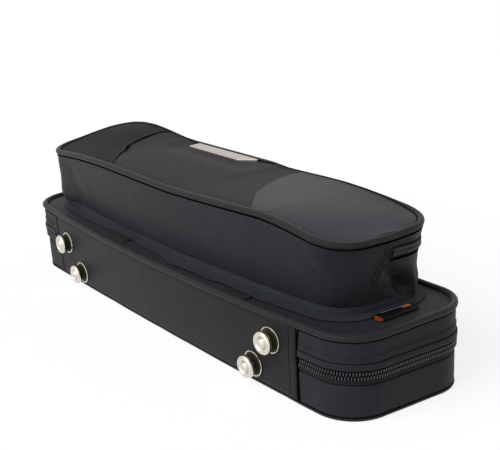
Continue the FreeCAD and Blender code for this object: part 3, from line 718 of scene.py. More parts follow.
# Main zip: woven tapes sewn behind the cover's edges, with nylon coils whose turns mesh along one
# line round the three sides away from the spine. The flap above is folded nylon, thick at its fold
# and thin where it is sewn down.
zip_tape = woven("zip_tape_polyester", "#121214", "#29292D", (1.2, 0.8), 0.4, slant=1.0, rough=0.7)
coil_nylon = speckled("moulded_nylon_coil", "#242427", "#4C4C50", 300.0, 2.0, Roughness=0.4, IOR=1.53)
zip_end = 177.0
for name, section, body, node in (
    ("zip_lower_tape_cloth", [(24.75, -1.3), (25.2, -1.1), (25.7, -0.3), (26.6, -0.1), (28.4, -0.2),
                              (31.5, -0.3), (31.5, -1.0), (28.0, -1.0), (25.2, -1.6)],
     "base", "zip_lower_tape"),
    ("zip_upper_tape_cloth", [(31.8, -0.2), (33.5, -0.2), (35.1, -0.25), (35.1, -0.95), (33.5, -0.95),
                              (31.8, -0.95)],
     "lid", "zip_upper_tape"),
):
    place(name, cloth(swept(section, zip_end - 1.0)), zip_tape, body, node)


def zip_turns(line, first, height, half_step, warp):
    """The turns of one coil, spaced round an outline from one end to the other and leaning a little.
    They are 2 mm apart, coarser than the real ones, so that they show."""
    pitch, out, lean = 2.0, 0.6, 0.2
    count = int((line[2][-1] - 2 * first) / pitch)
    places, outward = walk(line, count, first + half_step * pitch, first + (count + half_step) * pitch)
    spots = []
    for (x, y), (nx, ny) in zip(places[:-1], outward[:-1]):
        centre = warp(np.array([[(x + nx * out, y + ny * out, height)]]), np.array([(nx, ny)]))
        face = Matrix(((-ny, nx, 0), (nx, ny, 0), (0, 0, 1))).transposed().to_4x4()
        spots.append(Matrix.Translation(centre) @ face @ Matrix.Rotation(lean, 4, "Y"))
    return repeated(small_bar(0.9, 1.3, 2.4, 0.2), spots)


zip_height = 31.65
for name, section, offset, half_step, body, node in (
    ("zip_lower_teeth", [(28.4, -0.1), (28.6, 0.25), (29.6, 0.45), (30.6, 0.4), (31.0, 0.2), (30.9, -0.1)],
     -1.55, 0.25, "base", "zip_lower_coil"),
    ("zip_upper_teeth", [(34.9, -0.1), (34.7, 0.25), (33.7, 0.45), (32.7, 0.4), (32.3, 0.2), (32.4, -0.1)],
     1.55, 0.75, "lid", "zip_upper_coil"),
):
    line = case_line(zip_height)
    turns = zip_turns(line, distance_at(line, zip_end), zip_height + offset, half_step,
                      lambda spot, way: Vector(settle(spot, [0.0], way)[0, 0]))
    # The black core behind the turns is painted shade in the gaps between them.
    core = cloth(swept(section, zip_end - 0.5))
    for face in core.faces:
        face.material_index = 1
    place(name, [turns, core], (coil_nylon, painted_shade_cloth), body, node)

flap_section = [
    (35.3, 0.8), (35.4, 1.3), (36.1, 1.55), (38.0, 1.5), (39.2, 1.35), (39.9, 0.95), (40.4, 0.55),
    (41.5, 0.4), (44.0, 0.35), (45.7, 0.3), (45.9, 0.1), (44.0, 0.1), (40.0, 0.1), (36.0, 0.1), (35.4, 0.3),
]
place("zip_flap_cloth", cloth(swept(flap_section, zip_end - 1.0)), nylon_oxford, "lid", "zip_flap")
step_height, thread_height = 39.8, 44.4
# Painted shade: a black line in the crease where the flap's thick fold steps down.
flap_step_shade_rows = shade_ring(case_line(step_height), lambda x, y: step_height, 1.0, 0.35, zip_end)
place("zip_flap_step_shade", cloth(flap_step_shade_rows), painted_shade_cloth, "lid")
line = case_line(thread_height)
first = distance_at(line, zip_end)
places, outward = walk(line, 700, first, line[2][-1] - first)
path = np.column_stack((places + outward * 0.55, np.full(len(places), thread_height)))
path = settle(path[:, None], [0], outward)[:, 0]
place("flap_thread", stitches(path, upright_ways(outward), 3.2, 1.9, 0.35), thread_dark_for_shade, "lid")


# Straps: two 38 mm nylon webbings over the lid, under the pocket, each sewn down in the groove and
# again on the far wall, where the handles hang from them. The left one was sewn a little crooked.
webbing = woven("nylon_webbing", "#111113", "#303034", (2.2, 3.2), 0.8, slant=1.0, rough=0.7)
strap_edge = [
    (-19.0, 0.3), (-18.6, 1.0), (-17.5, 1.15), (-8.0, 1.2), (0.0, 1.2), (8.0, 1.2), (17.5, 1.15), (18.6, 1.0),
    (19.0, 0.3), (18.6, 0.05), (-18.6, 0.05),
]
left_strap, right_strap = -65.0, 100.0
strap_near, strap_far = -59.5, 50.6
straps = []
for x, crooked in ((left_strap, 4.0), (right_strap, 0.0)):
    rows = []
    for y in np.linspace(strap_near, strap_far, 90):
        drop = 1.2 * math.exp(-max(min(y - strap_near, strap_far - y), 0) / 1.2)
        middle = x - crooked * float(smooth((-20.0 - y) / 30.0))
        rows.append([(middle + a, y, lid_level(x, y) + 0.1 + b - drop) for a, b in strap_edge])
    straps.append(cloth(np.array(rows)))


def wall_tab(x, low, high):
    """A strap's end, sewn flat on the far wall between two heights."""
    edge = [(-19, 0.6), (-18.4, 1.3), (0, 1.4), (18.4, 1.3), (19, 0.6), (18.4, 0.3), (-18.4, 0.3)]
    heights = np.linspace(low, high, 12)
    return cloth(np.array([[(x + a, half_width + b, z) for a, b in edge] for z in heights]))


lid_tabs, base_tabs = (
    [wall_tab(x, *ends) for x in (left_strap, right_strap)] for ends in ((46.3, 54.4), (3.8, 11.5))
)
place("lid_webbing", straps + lid_tabs, webbing, "lid", "lid_straps")
place("base_webbing", base_tabs, webbing, "base", "base_straps")


# Pocket: a soft bag sewn on the lid. Its wall leans outwards, and its stuffing lifts the far left
# corner of the rim and lets the right end sag, so its upper parts all follow one set of heights.
foot_height, head_height = 60.4, 112.8
head_near = 48.0
foot_bow, pocket_shift = 8.5, -1.5


@lru_cache(maxsize=None)
def pocket_line(height):
    share = (height - foot_height) / (head_height - foot_height)
    return outline(
        194.0 + 8.0 * share, 37.0 + (head_near - 37.0) * share, 41.0 + 3.5 * share, 25.0 + 3.0 * share,
        foot_bow - 5.5 * share, pocket_shift,
    )


near_rise = (
    (-202, -6.0), (-180, -5.3), (-137, -1.8), (-110, -0.8), (-83, -0.4), (-35, -1.0), (8, -1.7), (47, -0.6),
    (83, 0.9), (105, 1.8), (126, 2.6), (140, 1.9), (156, 0.3), (170, -1.7), (182, -3.8), (190, -5.3),
    (196, -6.3), (202, -7.3),
)
far_rise = (
    (-202, 3.1), (-192, 4.6), (-180, 5.2), (-161, 5.6), (-143, 4.5), (-126, 2.8), (-110, 1.2), (-95, 0.6),
    (20, 0.6), (40, -0.7), (61, -0.4), (84, 0.2), (107, 0.4), (128, -0.4), (149, -1.8), (169, -3.6),
    (180, -5.2), (202, -6.6),
)


def stuffed_rise(x, y):
    """How far the stuffing lifts the rim above its pattern at one place, or lets it sag."""
    share = float(smooth((y + 46.0) / 82.0))
    if x > 150:
        share = share ** (1 - 0.6 * min((x - 150) / 40, 1))
    near, far = np.interp(x, *zip(*near_rise)), np.interp(x, *zip(*far_rise))
    slump = math.exp(-((y + 1.0) / 16.0) ** 2) * float(smooth((x - 175.0) / 20.0))
    return near + (far - near) * share - 0.9 * slump


tilt = math.atan2(3.0, 92.5)


def tilted(x, y, z):
    """A place on the flat top pattern, tipped up towards the far side."""
    dy, dz = y + head_near, z - head_height
    turned_y = dy * math.cos(tilt) - dz * math.sin(tilt)
    turned_z = dy * math.sin(tilt) + dz * math.cos(tilt)
    return x, turned_y - head_near, turned_z + head_height


def wall_top(x, y):
    """Height of the wall's top edge under the piping."""
    return head_height + (y + head_near) * math.tan(tilt)


# Folds in the slack wall, as (places, radius, depth): pulled creases, pinches at the foot, and the
# deep dent under the zip at the right end.
wall_folds = (
    (((179.3, -41.6, 94.6), (183.5, -36.9, 85.9), (186.4, -30.2, 70.2), (187.0, -29.0, 65.0)), 2.5, 2.7),
    (((176.0, -42.0, 88.0), (180.5, -37.5, 76.0)), 3.0, -1.2),
    (((185.2, -30.1, 63.0), (186.0, -27.0, 66.0)), 4.0, -2.6),
    (((197.5, 1.0, 84.0), (195.5, 14.0, 74.0)), 4.6, -3.4),
    (((195.5, 13.0, 75.0), (194.5, 18.0, 69.0)), 4.2, -6.0),
    (((195.0, 4.0, 72.0), (194.5, 15.0, 67.0)), 3.0, -2.0),
    (((194.0, 22.0, 80.0), (192.0, 24.5, 66.0)), 3.0, 2.6),
    (((190.0, 29.0, 74.0), (189.0, 30.0, 62.0)), 6.0, 4.0),
    (((196.0, 8.0, 68.0), (194.5, 14.0, 62.0)), 3.0, 1.6),
    (((199.0, -1.8, 103.0), (198.8, -1.6, 96.0), (197.5, -3.0, 91.0)), 1.8, 1.0),
    (((-158.0, -44.5, 98.0), (-154.0, -44.0, 86.0), (-148.0, -43.0, 74.0)), 6.0, -0.8),
    (((-124.0, -44.0, 84.0), (-120.0, -43.0, 68.0)), 6.0, -0.6),
)
bulge_at_heights = ((60.4, 3.0), (63, 7.5), (70, 8.0), (75, 7.0), (83, 4.7), (91, 3.1), (97, 2.3), (105, 1.2),
                    (112.8, 0.0))


def gap_to(path, spot):
    """How far a place is from a line of straight runs."""
    gaps = []
    for a, b in zip(map(Vector, path), map(Vector, path[1:])):
        share = min(max((spot - a).dot(b - a) / (b - a).length_squared, 0), 1)
        gaps.append((spot - a.lerp(b, share)).length)
    return min(gaps)


zip_middle = 97.5


def gusset_folds(rows):
    """The thin wall cloth is slack: it bellies between its seams, has pulled folds, and goes up and
    down with the stuffing. Along the far side the zip holds it straight, so that its sliders run."""
    shaped = rows.copy()
    for i in range(rows.shape[0]):
        for j in range(rows.shape[1]):
            spot = Vector(rows[i, j])
            x, y, z = spot
            share = min(max((z - foot_height) / (head_height - foot_height), 0.0), 1.0)
            away = Vector((x * 0.15, y, 0)) if abs(x) < 185 else Vector((x, y * 0.4, 0))
            loose = math.sin(math.pi * share)
            push = 0.9 * loose + noise.noise(Vector((x / 40, z / 30, y / 40))) * 0.9 * loose
            push += noise.noise(Vector((x / 12, z / 12, y / 12))) * 0.15 * loose
            for path, radius, depth in wall_folds:
                if abs(x - path[0][0]) < 40:
                    push += depth * math.exp(-(gap_to(path, spot) / radius) ** 2)
            push += np.interp(z, *zip(*bulge_at_heights)) * float(smooth((-150 - x) / 35))
            right, far = float(smooth((x - 150) / 40)), float(smooth((y - 15) / 20))
            start = 64.0 + 37.0 * max(right, far)
            rise = min(max((z - start) / (head_height - start), 0.0), 1.0) ** (1.4 - 0.4 * max(right, far))
            push *= 1.0 - far * math.exp(-((z - zip_middle) / 9.0) ** 4)
            spot += away.normalized() * push
            shaped[i, j] = (spot.x, spot.y, z + stuffed_rise(x, y) * rise + 0.8 * right * loose ** 0.5)
    return shaped


def gusset_rows(first, last, bottom, top, steps, levels, thickness=1.0):
    """Rows for part of the pocket wall. It runs between two distances round it, from the height
    bottom to the height top, or to the rim where top is None."""
    outer, inner = [], []
    for share in np.linspace(0, 1, levels + 1):
        height = bottom + share * ((top or head_height) - bottom)
        line = pocket_line(height)
        scale = line[2][-1] / pocket_line(head_height)[2][-1]
        places, outward = walk(line, steps, first * scale, last * scale)
        heights = np.full(steps + 1, height)
        if top is None:
            heights = bottom + share * (np.array([wall_top(x, y) for x, y in places]) - bottom)
        outer.append(np.column_stack((places, heights)))
        inner.append(np.column_stack((places - outward * thickness, heights)))
    return np.stack(outer + inner[::-1], axis=1)


head_line = pocket_line(head_height)
head_total = head_line[2][-1]


def split_distance(line, y):
    """Distance round the right end at which a line across the pocket is reached."""
    places, _, distances = line
    right = (places[:, 0] > 0) & (places[:, 1] > -40) & (places[:, 1] < 20)
    return float(np.interp(y, places[right, 1], distances[right]))


fold_distance = split_distance(head_line, -3.1)
rear_steps = 300


def rear_strip(low, high, levels, inset=0.0, thickness=1.0):
    """A strip of the wall round the far side, from one end of the flap's fold to the other."""
    first = fold_distance + inset
    rows = gusset_rows(first, head_total - first, low, high, rear_steps, levels, thickness)
    return cloth(gusset_folds(rows))


gusset_nylon = woven("nylon_gusset_twill", "#0E0E12", "#3A3A40", (2.0, 2.0), 0.5, slant=-1.0, rough=0.5,
                     mottle=0.3)
front_gusset = cloth(gusset_folds(gusset_rows(-fold_distance, fold_distance, foot_height, None, 320, 26)))
place("pocket_front_cloth", front_gusset, gusset_nylon, "lid", "pocket_front_gusset")
rear_low = rear_strip(foot_height, zip_middle - 5.0, 18)
place("pocket_rear_cloth", rear_low, gusset_nylon, "lid", "pocket_rear_gusset")
rear_band = rear_strip(zip_middle + 5.0, None, 8, 0.4)
place("flap_band_cloth", rear_band, gusset_nylon, "pocket_flap", "flap_band")

cord_steps = 560
places, outward = walk(head_line, cord_steps, 0, head_total)
# Painted shade: a black line under the pocket's piping, at the top of its wall.
level_rows = [
    np.column_stack((places + outward * out, [wall_top(x, y) + z for x, y in places]))
    for z, out in ((-0.9, -0.2), (-0.8, 0.25), (-0.3, 0.35), (0.2, 0.25), (0.4, -0.2))
]
pocket_rim_shade_line = place("pocket_rim_shade_line", cloth(gusset_folds(np.stack(level_rows, axis=1))), painted_shade_cloth)
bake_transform(pocket_rim_shade_line)

# The pocket's right end is closed by two rows of stitches beside the seam.
end_rows = []
for row in (
    ((-4.2, 103.4), (-3.7, 96.6), (-5.8, 93.7), (-10.1, 89.3), (-13.0, 83.2), (-12.1, 78.3)),
    ((1.1, 102.3), (0.7, 95.0), (-0.5, 92.6), (-4.9, 89.5), (-8.3, 83.5), (-8.6, 75.4)),
):
    path = []
    for y, z in row:
        line = pocket_line(z)
        path.append((*spot_at(line, split_distance(line, y))[0], z))
    shaped = gusset_folds(np.array([path]))[0]
    shaped[:, 0] += 0.35
    end_rows.append(stitches(shaped, [(1, 0, 0)] * len(shaped), 2.8, 1.9, 0.6))
place("pocket_end_thread", end_rows, thread_dark_for_shade, "lid")


# Pocket floor and flange: the bag's foot is sewn to a wide grosgrain tape that lies on the lid and
# climbs a little up the wall. The tape rides over the straps, and was sewn on a little crooked.
place(
    "pocket_floor_cloth", cloth(across_top(pocket_line(59.5), lambda x, y: 60.2, 100, 1.0, 10, 0.7)),
    gusset_nylon, "lid", "pocket_floor",
)
flange_tape = woven("grosgrain_flange_tape", "#0C0E10", "#464A50", (2.2, 1.9), 0.9, slant=1.0, zigzag=3.3,
                    rough=0.75, mottle=0.4)
flange_near = (
    (-180, -45.4), (-170, -46.6), (-140, -48.4), (-104, -49.9), (-51, -49.9), (0, -53.6), (5, -54.2),
    (19, -57.6), (24, -57.7), (34, -56.6), (60, -55.0), (84, -53.9), (116, -53.7), (137, -50.4), (160, -47.9),
    (172, -46.3),
)
flange_outer = outline(202.0, 46.0, 50.0, corner, foot_bow, pocket_shift)
flange_inner = pocket_line(foot_height)
outer_places, _ = walk(flange_outer, 460, 0, flange_outer[2][-1])
inner_places, inner_ways = walk(flange_inner, 460, 0, flange_inner[2][-1])
rows = []
for (ox, oy), (ix, iy), (nx, ny) in zip(outer_places, inner_places, inner_ways):
    if oy < -40 and -180 < ox < 172:
        ease = min(1.0, (ox + 180) / 15, (172 - ox) / 15)
        oy += (np.interp(ox, *zip(*flange_near)) - oy) * ease
    over = max(0.0, *(1 - max(abs(ox - strap) - 18, 0) / 6 for strap in (left_strap - 2.0, right_strap)))
    low = 58.5 + 1.05 * over
    bulge = np.interp(62.0, *zip(*bulge_at_heights)) * float(smooth((-150 - ix) / 35))
    across = [(ix + nx * (out + bulge), iy + ny * (out + bulge), z) for out, z in ((1.9, 64.6), (2.4, 63.4))]
    for share, high in (
        (0.3, 1.9), (0.42, 1.35), (0.56, 1.3), (0.7, 1.15), (0.86, 1.2), (0.96, 0.9), (1.0, 0.45),
        (0.95, 0.1), (0.5, 0.1), (0.0, 0.1),
    ):
        x = ix + nx * 0.2 + (ox - ix) * share
        y = iy + ny * 0.2 + (oy - iy) * share
        across.append((x, y, low + high * 0.9))
    across.append((ix + nx * 0.9, iy + ny * 0.9, 64.4))
    rows.append(across)
rows = np.array(rows)
for i in range(rows.shape[0]):
    for j in range(rows.shape[1]):
        rows[i, j] += np.array(noise.noise_vector(Vector(rows[i, j]) / 9.0)) * 0.2
place("pocket_flange_cloth", cloth(rows), flange_tape, "lid", "pocket_flange")


# Pocket zip: the same tapes and coil, one size smaller, from end to end round the far side.
for kind, body, tape, seam, coil_offset, half_step in (
    ("pocket_lower_", "lid", (92.7, 97.3), (91.7, 93.4), -1.35, 0.25),
    ("pocket_upper_", "pocket_flap", (97.7, 102.3), (101.2, 102.2), 1.35, 0.75),
):
    place(kind + "tape_cloth", rear_strip(*tape, 4, 0.5, 0.75), zip_tape, body, kind + "tape")
    # Painted shade: black strips along the zip's tapes, where they meet the wall.
    place(kind + "seam", rear_strip(*seam, 2, 3.0, -0.3), painted_shade_cloth, body)
    line = pocket_line(zip_middle)
    turns = zip_turns(line, split_distance(line, 3.0), zip_middle + coil_offset, half_step,
                      lambda spot, way: Vector(gusset_folds(spot)[0, 0]))
    place(kind + "teeth", turns, coil_nylon, body, kind + "coil")


# Pocket top: ribbed nylon in the middle, crossing the line where the flap folds back, between two
# patches of smoother cloth that cover its ends. A cord in nylon is sewn round its rim.
left_edge = (
    (-48, -81), (-42.8, -86), (-24, -106), (-16, -110), (-6.5, -121), (8.5, -129), (21.5, -132.5),
    (32, -133.7), (41, -134), (45, -131),
)
right_edge = ((-48, 113), (-43.6, 108), (-39.2, 104), (-19.5, 84), (-1.2, 73), (24.1, 62), (37, 60), (46, 62))


def top_level(x, y):
    """Height of the pocket's top cloth, with its stuffing."""
    inside = from_edge(head_line, x, y)
    crown = 1.6 * (1 - math.exp(-max(inside - 4.0, 0) / 14.0)) - 0.8 * math.exp(-max(inside - 3.0, 0) / 1.5)
    if -100 < x < 30 and y > 5:
        crown *= max(0.0, 1 - min((y - 5) / 15, 1) * min(1, (x + 100) / 15, (30 - x) / 15))
    return tilted(x, y, head_height + 3.2)[2] + stuffed_rise(x, y) + crown


def ribbed_level(x, y):
    """The ribbed cloth lies lower where a patch covers it."""
    covered = max(np.interp(y, *zip(*left_edge)) - x, x - np.interp(y, *zip(*right_edge)))
    return top_level(x, y) - 0.9 * float(smooth(covered / 5.0))


fine_ribs = woven("nylon_ribbed_ottoman_fine", "#101013", "#2E2E34", (1.4, 1.5), 0.4, ribs=(0.58, 0.81),
                  mottle=0.25, shine=0.11)
top_rows = across_top(head_line, ribbed_level, 190, 3.0, 44, 1.0)
pocket_top_cloth = place(
    "pocket_top_cloth", cloth(top_rows), fine_ribs, None, ("pocket_top_front", "flap_panel"),
)
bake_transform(pocket_top_cloth)

places, outward = walk(head_line, cord_steps, 0, head_total)
centres = []
for (x, y), (nx, ny) in zip(places, outward):
    px, py, pz = tilted(x - nx * 1.2, y - ny * 1.2, head_height + 2.5)
    centres.append((px, py, pz + stuffed_rise(px, py)))
pocket_welt = place(
    "pocket_welt", cloth(pipe(np.array(centres), upright_ways(outward), cord_radius, 14)),
    piping_nylon, None, ("pocket_piping_front", "flap_piping"),
)
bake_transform(pocket_welt)

# A black strip is painted shade in the groove where the top is sewn in beside its cord, all but on the
# near side, where the stuffing covers it.
places, outward = walk(head_line, 460, split_distance(head_line, 19.5),
                       head_total - distance_at(head_line, 172.0))
groove = []
for inward, lift in ((4.1, 0.5), (4.0, 0.85), (3.7, 1.0), (3.4, 0.95), (3.3, 0.5)):
    spots = places - outward * inward
    groove.append([(x, y, top_level(x, y) + lift) for x, y in spots])
pocket_groove_shade = place("pocket_groove_shade", cloth(np.array(groove).transpose(1, 0, 2)), painted_shade_cloth)
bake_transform(pocket_groove_shade)

# The patches share one cloth; the left one takes a darker, less shiny copy of it: painted shade.
patch_nylon = woven("nylon_patch_cloth", "#1E1F24", "#43444A", (1.9, 1.9), 0.3, rough=0.5, sheen=0.1,
                    mottle=0.2)
patch_nylon_shaded = woven("nylon_patch_cloth_painted_shade", "#0E0E12", "#222228", (1.9, 1.9), 0.3, rough=0.6,
                    sheen=0.03, mottle=0.2, shine=0.05)


def patch_rows(side, edge_at, edge_lift, gape):
    """Rows for a patch over one end of the top: columns run across, from the free edge to the end."""
    places, outward, _ = head_line
    edge = places - outward * 3.4
    end = (edge[:, 0].max() if side > 0 else edge[:, 0].min()) * 0.99995
    lows, highs = near_and_far(edge, edge[:, 1].mean())
    rows = []
    for share in np.linspace(0, 1, 81):
        upper = []
        for t in np.linspace(0, 1, 37):
            bend = 0.5 - 0.5 * math.cos(math.pi * t)
            free_x = float(np.interp(head_near * (2 * bend - 1), *zip(*edge_at)))
            x = free_x + (end - free_x) * math.sin(share * math.pi / 2)
            y = np.interp(x, lows[:, 0], lows[:, 1])
            y += (np.interp(x, highs[:, 0], highs[:, 1]) - y) * bend
            lift = edge_lift + gape * math.exp(-((y + 13.0) / 4.0) ** 2)
            lift = 0.35 + lift * math.exp(-((x - free_x) / 4.0) ** 2)
            upper.append((x, y, top_level(x, y) + lift))
        rows.append(upper + [(x, y, z - 0.8) for x, y, z in reversed(upper)])
    return np.array(rows)


# The left patch takes the darker copy of the cloth, painted shade.
for kind, shade, side, edge_at, edge_lift, gape, flat, area in (
    ("left_patch_", patch_nylon_shaded, -1, left_edge, 0.35, 2.2, (0.120, 0.0885), 0.0064),
    ("right_patch_", patch_nylon, 1, right_edge, 0.2, 0.0, (0.147, 0.0885), 0.0109),
):
    rows, nodes = patch_rows(side, edge_at, edge_lift, gape), (kind + "front", kind + "rear")
    patch = place(kind + "cloth", cloth(rows), shade, None, nodes)
    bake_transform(patch)


# Name plate: stamped aluminium, brushed and clear coated, with two prongs bent over behind the cloth.
brushed = metal("brushed_clear_coated_aluminium", "#B8B0AB", 1.0, 3.0, 0.3, 0.45, (20.0, 900.0, 900.0))
finish_node("name_plate", brushed)


# Tag: black satin tape folded into a flat loop, with a woven orange stripe at its near end, a paler
# orange block near its far end, and one thin white pick beside the pocket.
tag_satin, tree = new_material("woven_satin_tag")
where = add(tree, "ShaderNodeTexCoord").outputs["Object"]
split = add(tree, "ShaderNodeSeparateXYZ", Vector=where)


def band(socket, middle, half):
    """One inside a span of a coordinate in metres, nought outside it."""
    inside = add(tree, "ShaderNodeMath", {"operation": "COMPARE"}, i0=split.outputs[socket], i1=middle,
                 i2=half)
    return inside.outputs[0]


woven_in = hue("#060608")
for (x_middle, x_half), (y_middle, y_half), thread in (
    ((0.2070, 0.0045), (-0.0162, 0.0013), "#A8431F"),
    ((0.2012, 0.0022), (0.0120, 0.0040), "#E8A070"),
    ((0.2006, 0.0006), (-0.0005, 0.0085), "#C8C8CC"),
):
    block = add(tree, "ShaderNodeMath", {"operation": "MULTIPLY"},
                i0=band("X", x_middle, x_half), i1=band("Y", y_middle, y_half))
    woven_in = add(tree, "ShaderNodeMix", {"data_type": "RGBA"},
                   i0=block.outputs[0], i6=woven_in, i7=hue(thread)).outputs[2]
weft = add(tree, "ShaderNodeTexNoise", Vector=where, Scale=1600.0, Detail=1.0)
shaded = add(tree, "ShaderNodeMix", {"data_type": "RGBA", "blend_type": "MULTIPLY"}, i0=0.35, i6=woven_in,
             i7=weft.outputs["Color"])
surface = add(tree, "ShaderNodeBsdfPrincipled", Base_Color=shaded.outputs[2], Roughness=0.6,
              Specular_IOR_Level=0.12)
add(tree, "ShaderNodeOutputMaterial", Surface=surface.outputs[0])
rows = []
for y in np.linspace(-16.2, 18.0, 40):
    swell = 0.15 * math.sin(y * 0.35)
    skew = 0.03 * (y - 1.0)
    rows.append([(x - (skew if x > 203 else 0), y, z + (swell if x > 203 else 0)) for x, z in (
        (194.8, 58.35), (203.0, 58.35), (207.4, 58.5), (208.9, 58.9), (209.4, 59.5), (208.9, 60.05),
        (207.5, 60.4), (203.5, 60.45), (200.7, 60.45), (200.7, 59.4), (194.8, 59.35),
    )])
place("loop_tag_cloth", cloth(np.array(rows)), tag_satin, "lid", "loop_tag")


# Inside of the case: moulded shells lined with short black plush, a fitted bed with a long channel
# for the body and two short ones for the head and foot joints, and a padded cushion in the lid.
plush, tree = new_material("short_pile_plush")
where = add(tree, "ShaderNodeTexCoord")
nap = add(tree, "ShaderNodeTexNoise", Vector=where.outputs["Object"], Scale=60.0, Detail=4.0)
pile = add(tree, "ShaderNodeTexNoise", Vector=where.outputs["Object"], Scale=1500.0, Detail=2.0)
brushed_way = add(tree, "ShaderNodeMix", {"data_type": "RGBA"}, i0=nap.outputs["Fac"], i6=hue("#131418"),
                  i7=hue("#292B33"))
bump = add(tree, "ShaderNodeBump", Height=pile.outputs["Fac"], Strength=0.6, Distance=0.0005)
surface = add(tree, "ShaderNodeBsdfPrincipled", Base_Color=brushed_way.outputs[2], Roughness=0.9,
              Sheen_Weight=0.7, Sheen_Roughness=0.35, Normal=bump.outputs[0])
add(tree, "ShaderNodeOutputMaterial", Surface=surface.outputs[0])
moulded, tree = new_material("moulded_abs_shell")
where = add(tree, "ShaderNodeTexCoord")
fine = add(tree, "ShaderNodeTexNoise", Vector=where.outputs["Object"], Scale=700.0, Detail=2.0)
bump = add(tree, "ShaderNodeBump", Height=fine.outputs["Fac"], Strength=0.3, Distance=0.0002)
tint = add(tree, "ShaderNodeMix", {"data_type": "RGBA"}, i0=fine.outputs["Fac"], i6=hue("#202022"),
           i7=hue("#333335"))
surface = add(tree, "ShaderNodeBsdfPrincipled", Base_Color=tint.outputs[2], Roughness=0.5, IOR=1.53,
              Normal=bump.outputs[0])
add(tree, "ShaderNodeOutputMaterial", Surface=surface.outputs[0])
for name in ("base_shell", "lid_shell"):
    finish_node(name, moulded)
for name, section, body, node in (
    ("base_lining_plush", [(5.3, -8.3), (14.0, -8.2), (23.2, -8.2), (23.8, -8.6), (23.8, -9.1), (23.0, -9.4),
                           (14.0, -9.4), (5.3, -9.4)], "base", "base_lining"),
    ("lid_lining_plush", [(51.3, -8.3), (38.0, -8.2), (26.2, -8.2), (25.7, -8.6), (25.7, -9.1), (26.4, -9.4),
                          (38.0, -9.4), (51.3, -9.4)], "lid", "lid_lining"),
):
    place(name, cloth(swept(section, steps=300)), plush, body, node)


bed_line, bed_top, channel_depth = case_line(22.0), 21.9, 14.0
channels = ((-183, 183, 6, 33), (-184, 38, -33, -6), (50, 184, -33, -6))


def bed_level(x, y):
    """Height of the bed's plush: three round-edged channels sunk into it."""
    deep = 0.0
    for x0, x1, y0, y1 in channels:
        reach = min(x - x0, x1 - x, y - y0, y1 - y)
        if reach > -3.0:
            deep = max(deep, channel_depth * float(smooth((reach + 3.0) / 5.0)))
    return bed_top - deep - 0.8 * math.exp(-max(from_edge(bed_line, x, y) - 9.5, 0) / 1.5)


places, outward, _ = bed_line
edge = places - outward * 9.6
bed_half = edge[:, 0].max() * 0.9999
lows, highs = near_and_far(edge, 0)
stops_x = sorted({
    *np.linspace(-bed_half, bed_half, 110),
    *(end + d for channel in channels for end in channel[:2] for d in (-3, -2, -1, 0, 1, 2, 3)),
})
stops_y = sorted({
    *np.linspace(-47, 47, 60),
    *(side + d for channel in channels for side in channel[2:] for d in (-3, -2.2, -1.4, -0.6, 0.2, 1, 1.8)),
})
rows = []
for x in stops_x:
    low = np.interp(x, lows[:, 0], lows[:, 1])
    high = np.interp(x, highs[:, 0], highs[:, 1])
    ys = [min(max(y, low), high) for y in stops_y]
    ys[0], ys[-1] = low, high
    upper = [(x, y, bed_level(x, y)) for y in ys]
    lower = [(x, y, 5.4) for y in ys[::-1]]
    rows.append(upper + lower)
bed_plush = place("bed_plush", cloth(np.array(rows)), plush, "base", "flute_bed", crease=80)


cushion_back, tuft_pitch = 51.3, 45


def cushion_level(x, y):
    """Height of the cushion's soft face, which hangs down from its back."""
    crown = 1.0 - math.exp(-max(from_edge(bed_line, x, y) - 9.6, 0) / 6.0)
    tufts = 0.5 * math.cos(x * math.pi / tuft_pitch) * math.cos(y * math.pi / tuft_pitch)
    return cushion_back - 4.5 - 6.5 * crown - tufts * crown


cushion_rows = across_top(case_line(46.0), lambda x, y: cushion_back, 130, 9.7, 30, 1.0)
for row in cushion_rows:
    for spot in row[len(row) // 2:]:
        spot[2] = cushion_level(spot[0], spot[1])
cushion_plush = place("lid_cushion_plush", cloth(cushion_rows), plush, "lid", "lid_cushion",
                      crease=80)


# Handles: 19 mm webbing, stitched double, on the far wall. The lid's has a padded nylon wrap at its
# grip, closed along its underside; the base's hangs plain beside it.
lid_grip_height, base_grip_height, bar = 48.6, 8.0, 107.35
webbing_edge = (
    (-1, 0.4), (-0.96, 0.9), (-0.7, 1), (0, 1), (0.7, 1), (0.96, 0.9), (1, 0.4), (1, -0.4), (0.96, -0.9),
    (0.7, -1), (0, -1), (-0.7, -1), (-0.96, -0.9), (-1, -0.4),
)


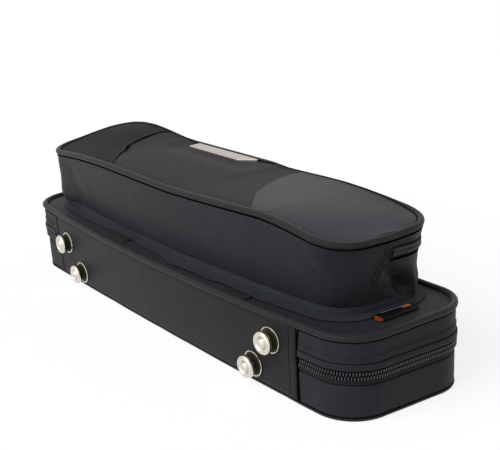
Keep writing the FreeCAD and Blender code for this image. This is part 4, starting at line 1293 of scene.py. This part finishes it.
def webbing_loop(height, droop):
    """Rows for a handle: out from its left root, round two soft bends and back to the right root."""
    half, thick = 9.5, 1.7
    root, bend = 59.4, 25.0
    left, right = left_strap, right_strap
    path, ways = [], []
    for y in np.linspace(root, bar - bend, 10)[:-1]:
        path.append((left, y))
        ways.append((-1, 0))
    for a in np.linspace(0, math.pi / 2, 14):
        path.append((left + bend - bend * math.cos(a), bar - bend + bend * math.sin(a)))
        ways.append((-math.cos(a), math.sin(a)))
    for x in np.linspace(left + bend, right - bend, 30)[1:-1]:
        path.append((x, bar))
        ways.append((0, 1))
    for a in np.linspace(0, math.pi / 2, 14):
        path.append((right - bend + bend * math.sin(a), bar - bend + bend * math.cos(a)))
        ways.append((math.sin(a), math.cos(a)))
    for y in np.linspace(bar - bend, root, 10)[1:]:
        path.append((right, y))
        ways.append((1, 0))
    rows = []
    for (x, y), (nx, ny) in zip(path, ways):
        across = []
        for a, b in webbing_edge:
            dy, dz = y + ny * half * a - root, thick * b
            across.append((
                x + nx * half * a, root + dy * math.cos(droop) + dz * math.sin(droop),
                height - dy * math.sin(droop) + dz * math.cos(droop),
            ))
        rows.append(across)
    return np.array(rows)


for body, height, droop in (("lid_handle", lid_grip_height, 0.0),
                            ("base_handle", base_grip_height, math.radians(6))):
    place(body + "_webbing", cloth(webbing_loop(height, droop)), webbing, body, body)
wrap_cloth = woven("padded_nylon_wrap", "#141417", "#2A2A2E", (1.7, 1.7), 0.35)
rows = []
grip_middle, wrap_half = (left_strap + right_strap) / 2, 47.8
for share in np.linspace(-1, 1, 49):
    x = grip_middle + wrap_half * share
    full = 1 - 0.16 * abs(share) ** 6
    ring = []
    for k in range(32):
        a = math.tau * k / 32
        c, s = math.cos(a), math.sin(a)
        y = bar + math.copysign(abs(c) ** 0.6, c) * 13.3 * full
        z = lid_grip_height + math.copysign(abs(s) ** 0.75, s) * 6.9 * full
        if abs(a - math.pi * 1.5) < 0.12:
            z += 1.2
        ring.append((x, y, z))
    rows.append(ring)
handle_pad = place("handle_pad", cloth(np.array(rows)), wrap_cloth, "lid_handle", "handle_wrap")


# Sliders and pulls: die-cast zinc, nickel plated like the feet, a little duller from handling.
worn_nickel = metal("die_cast_nickel_plate", "#C9C4BB", 350.0, 3.0, 0.16, 0.38)
for name in ("left_slider", "left_pull", "right_slider", "right_pull"):
    finish_node(name, worn_nickel)
    finish_node("pocket_" + name, worn_nickel)
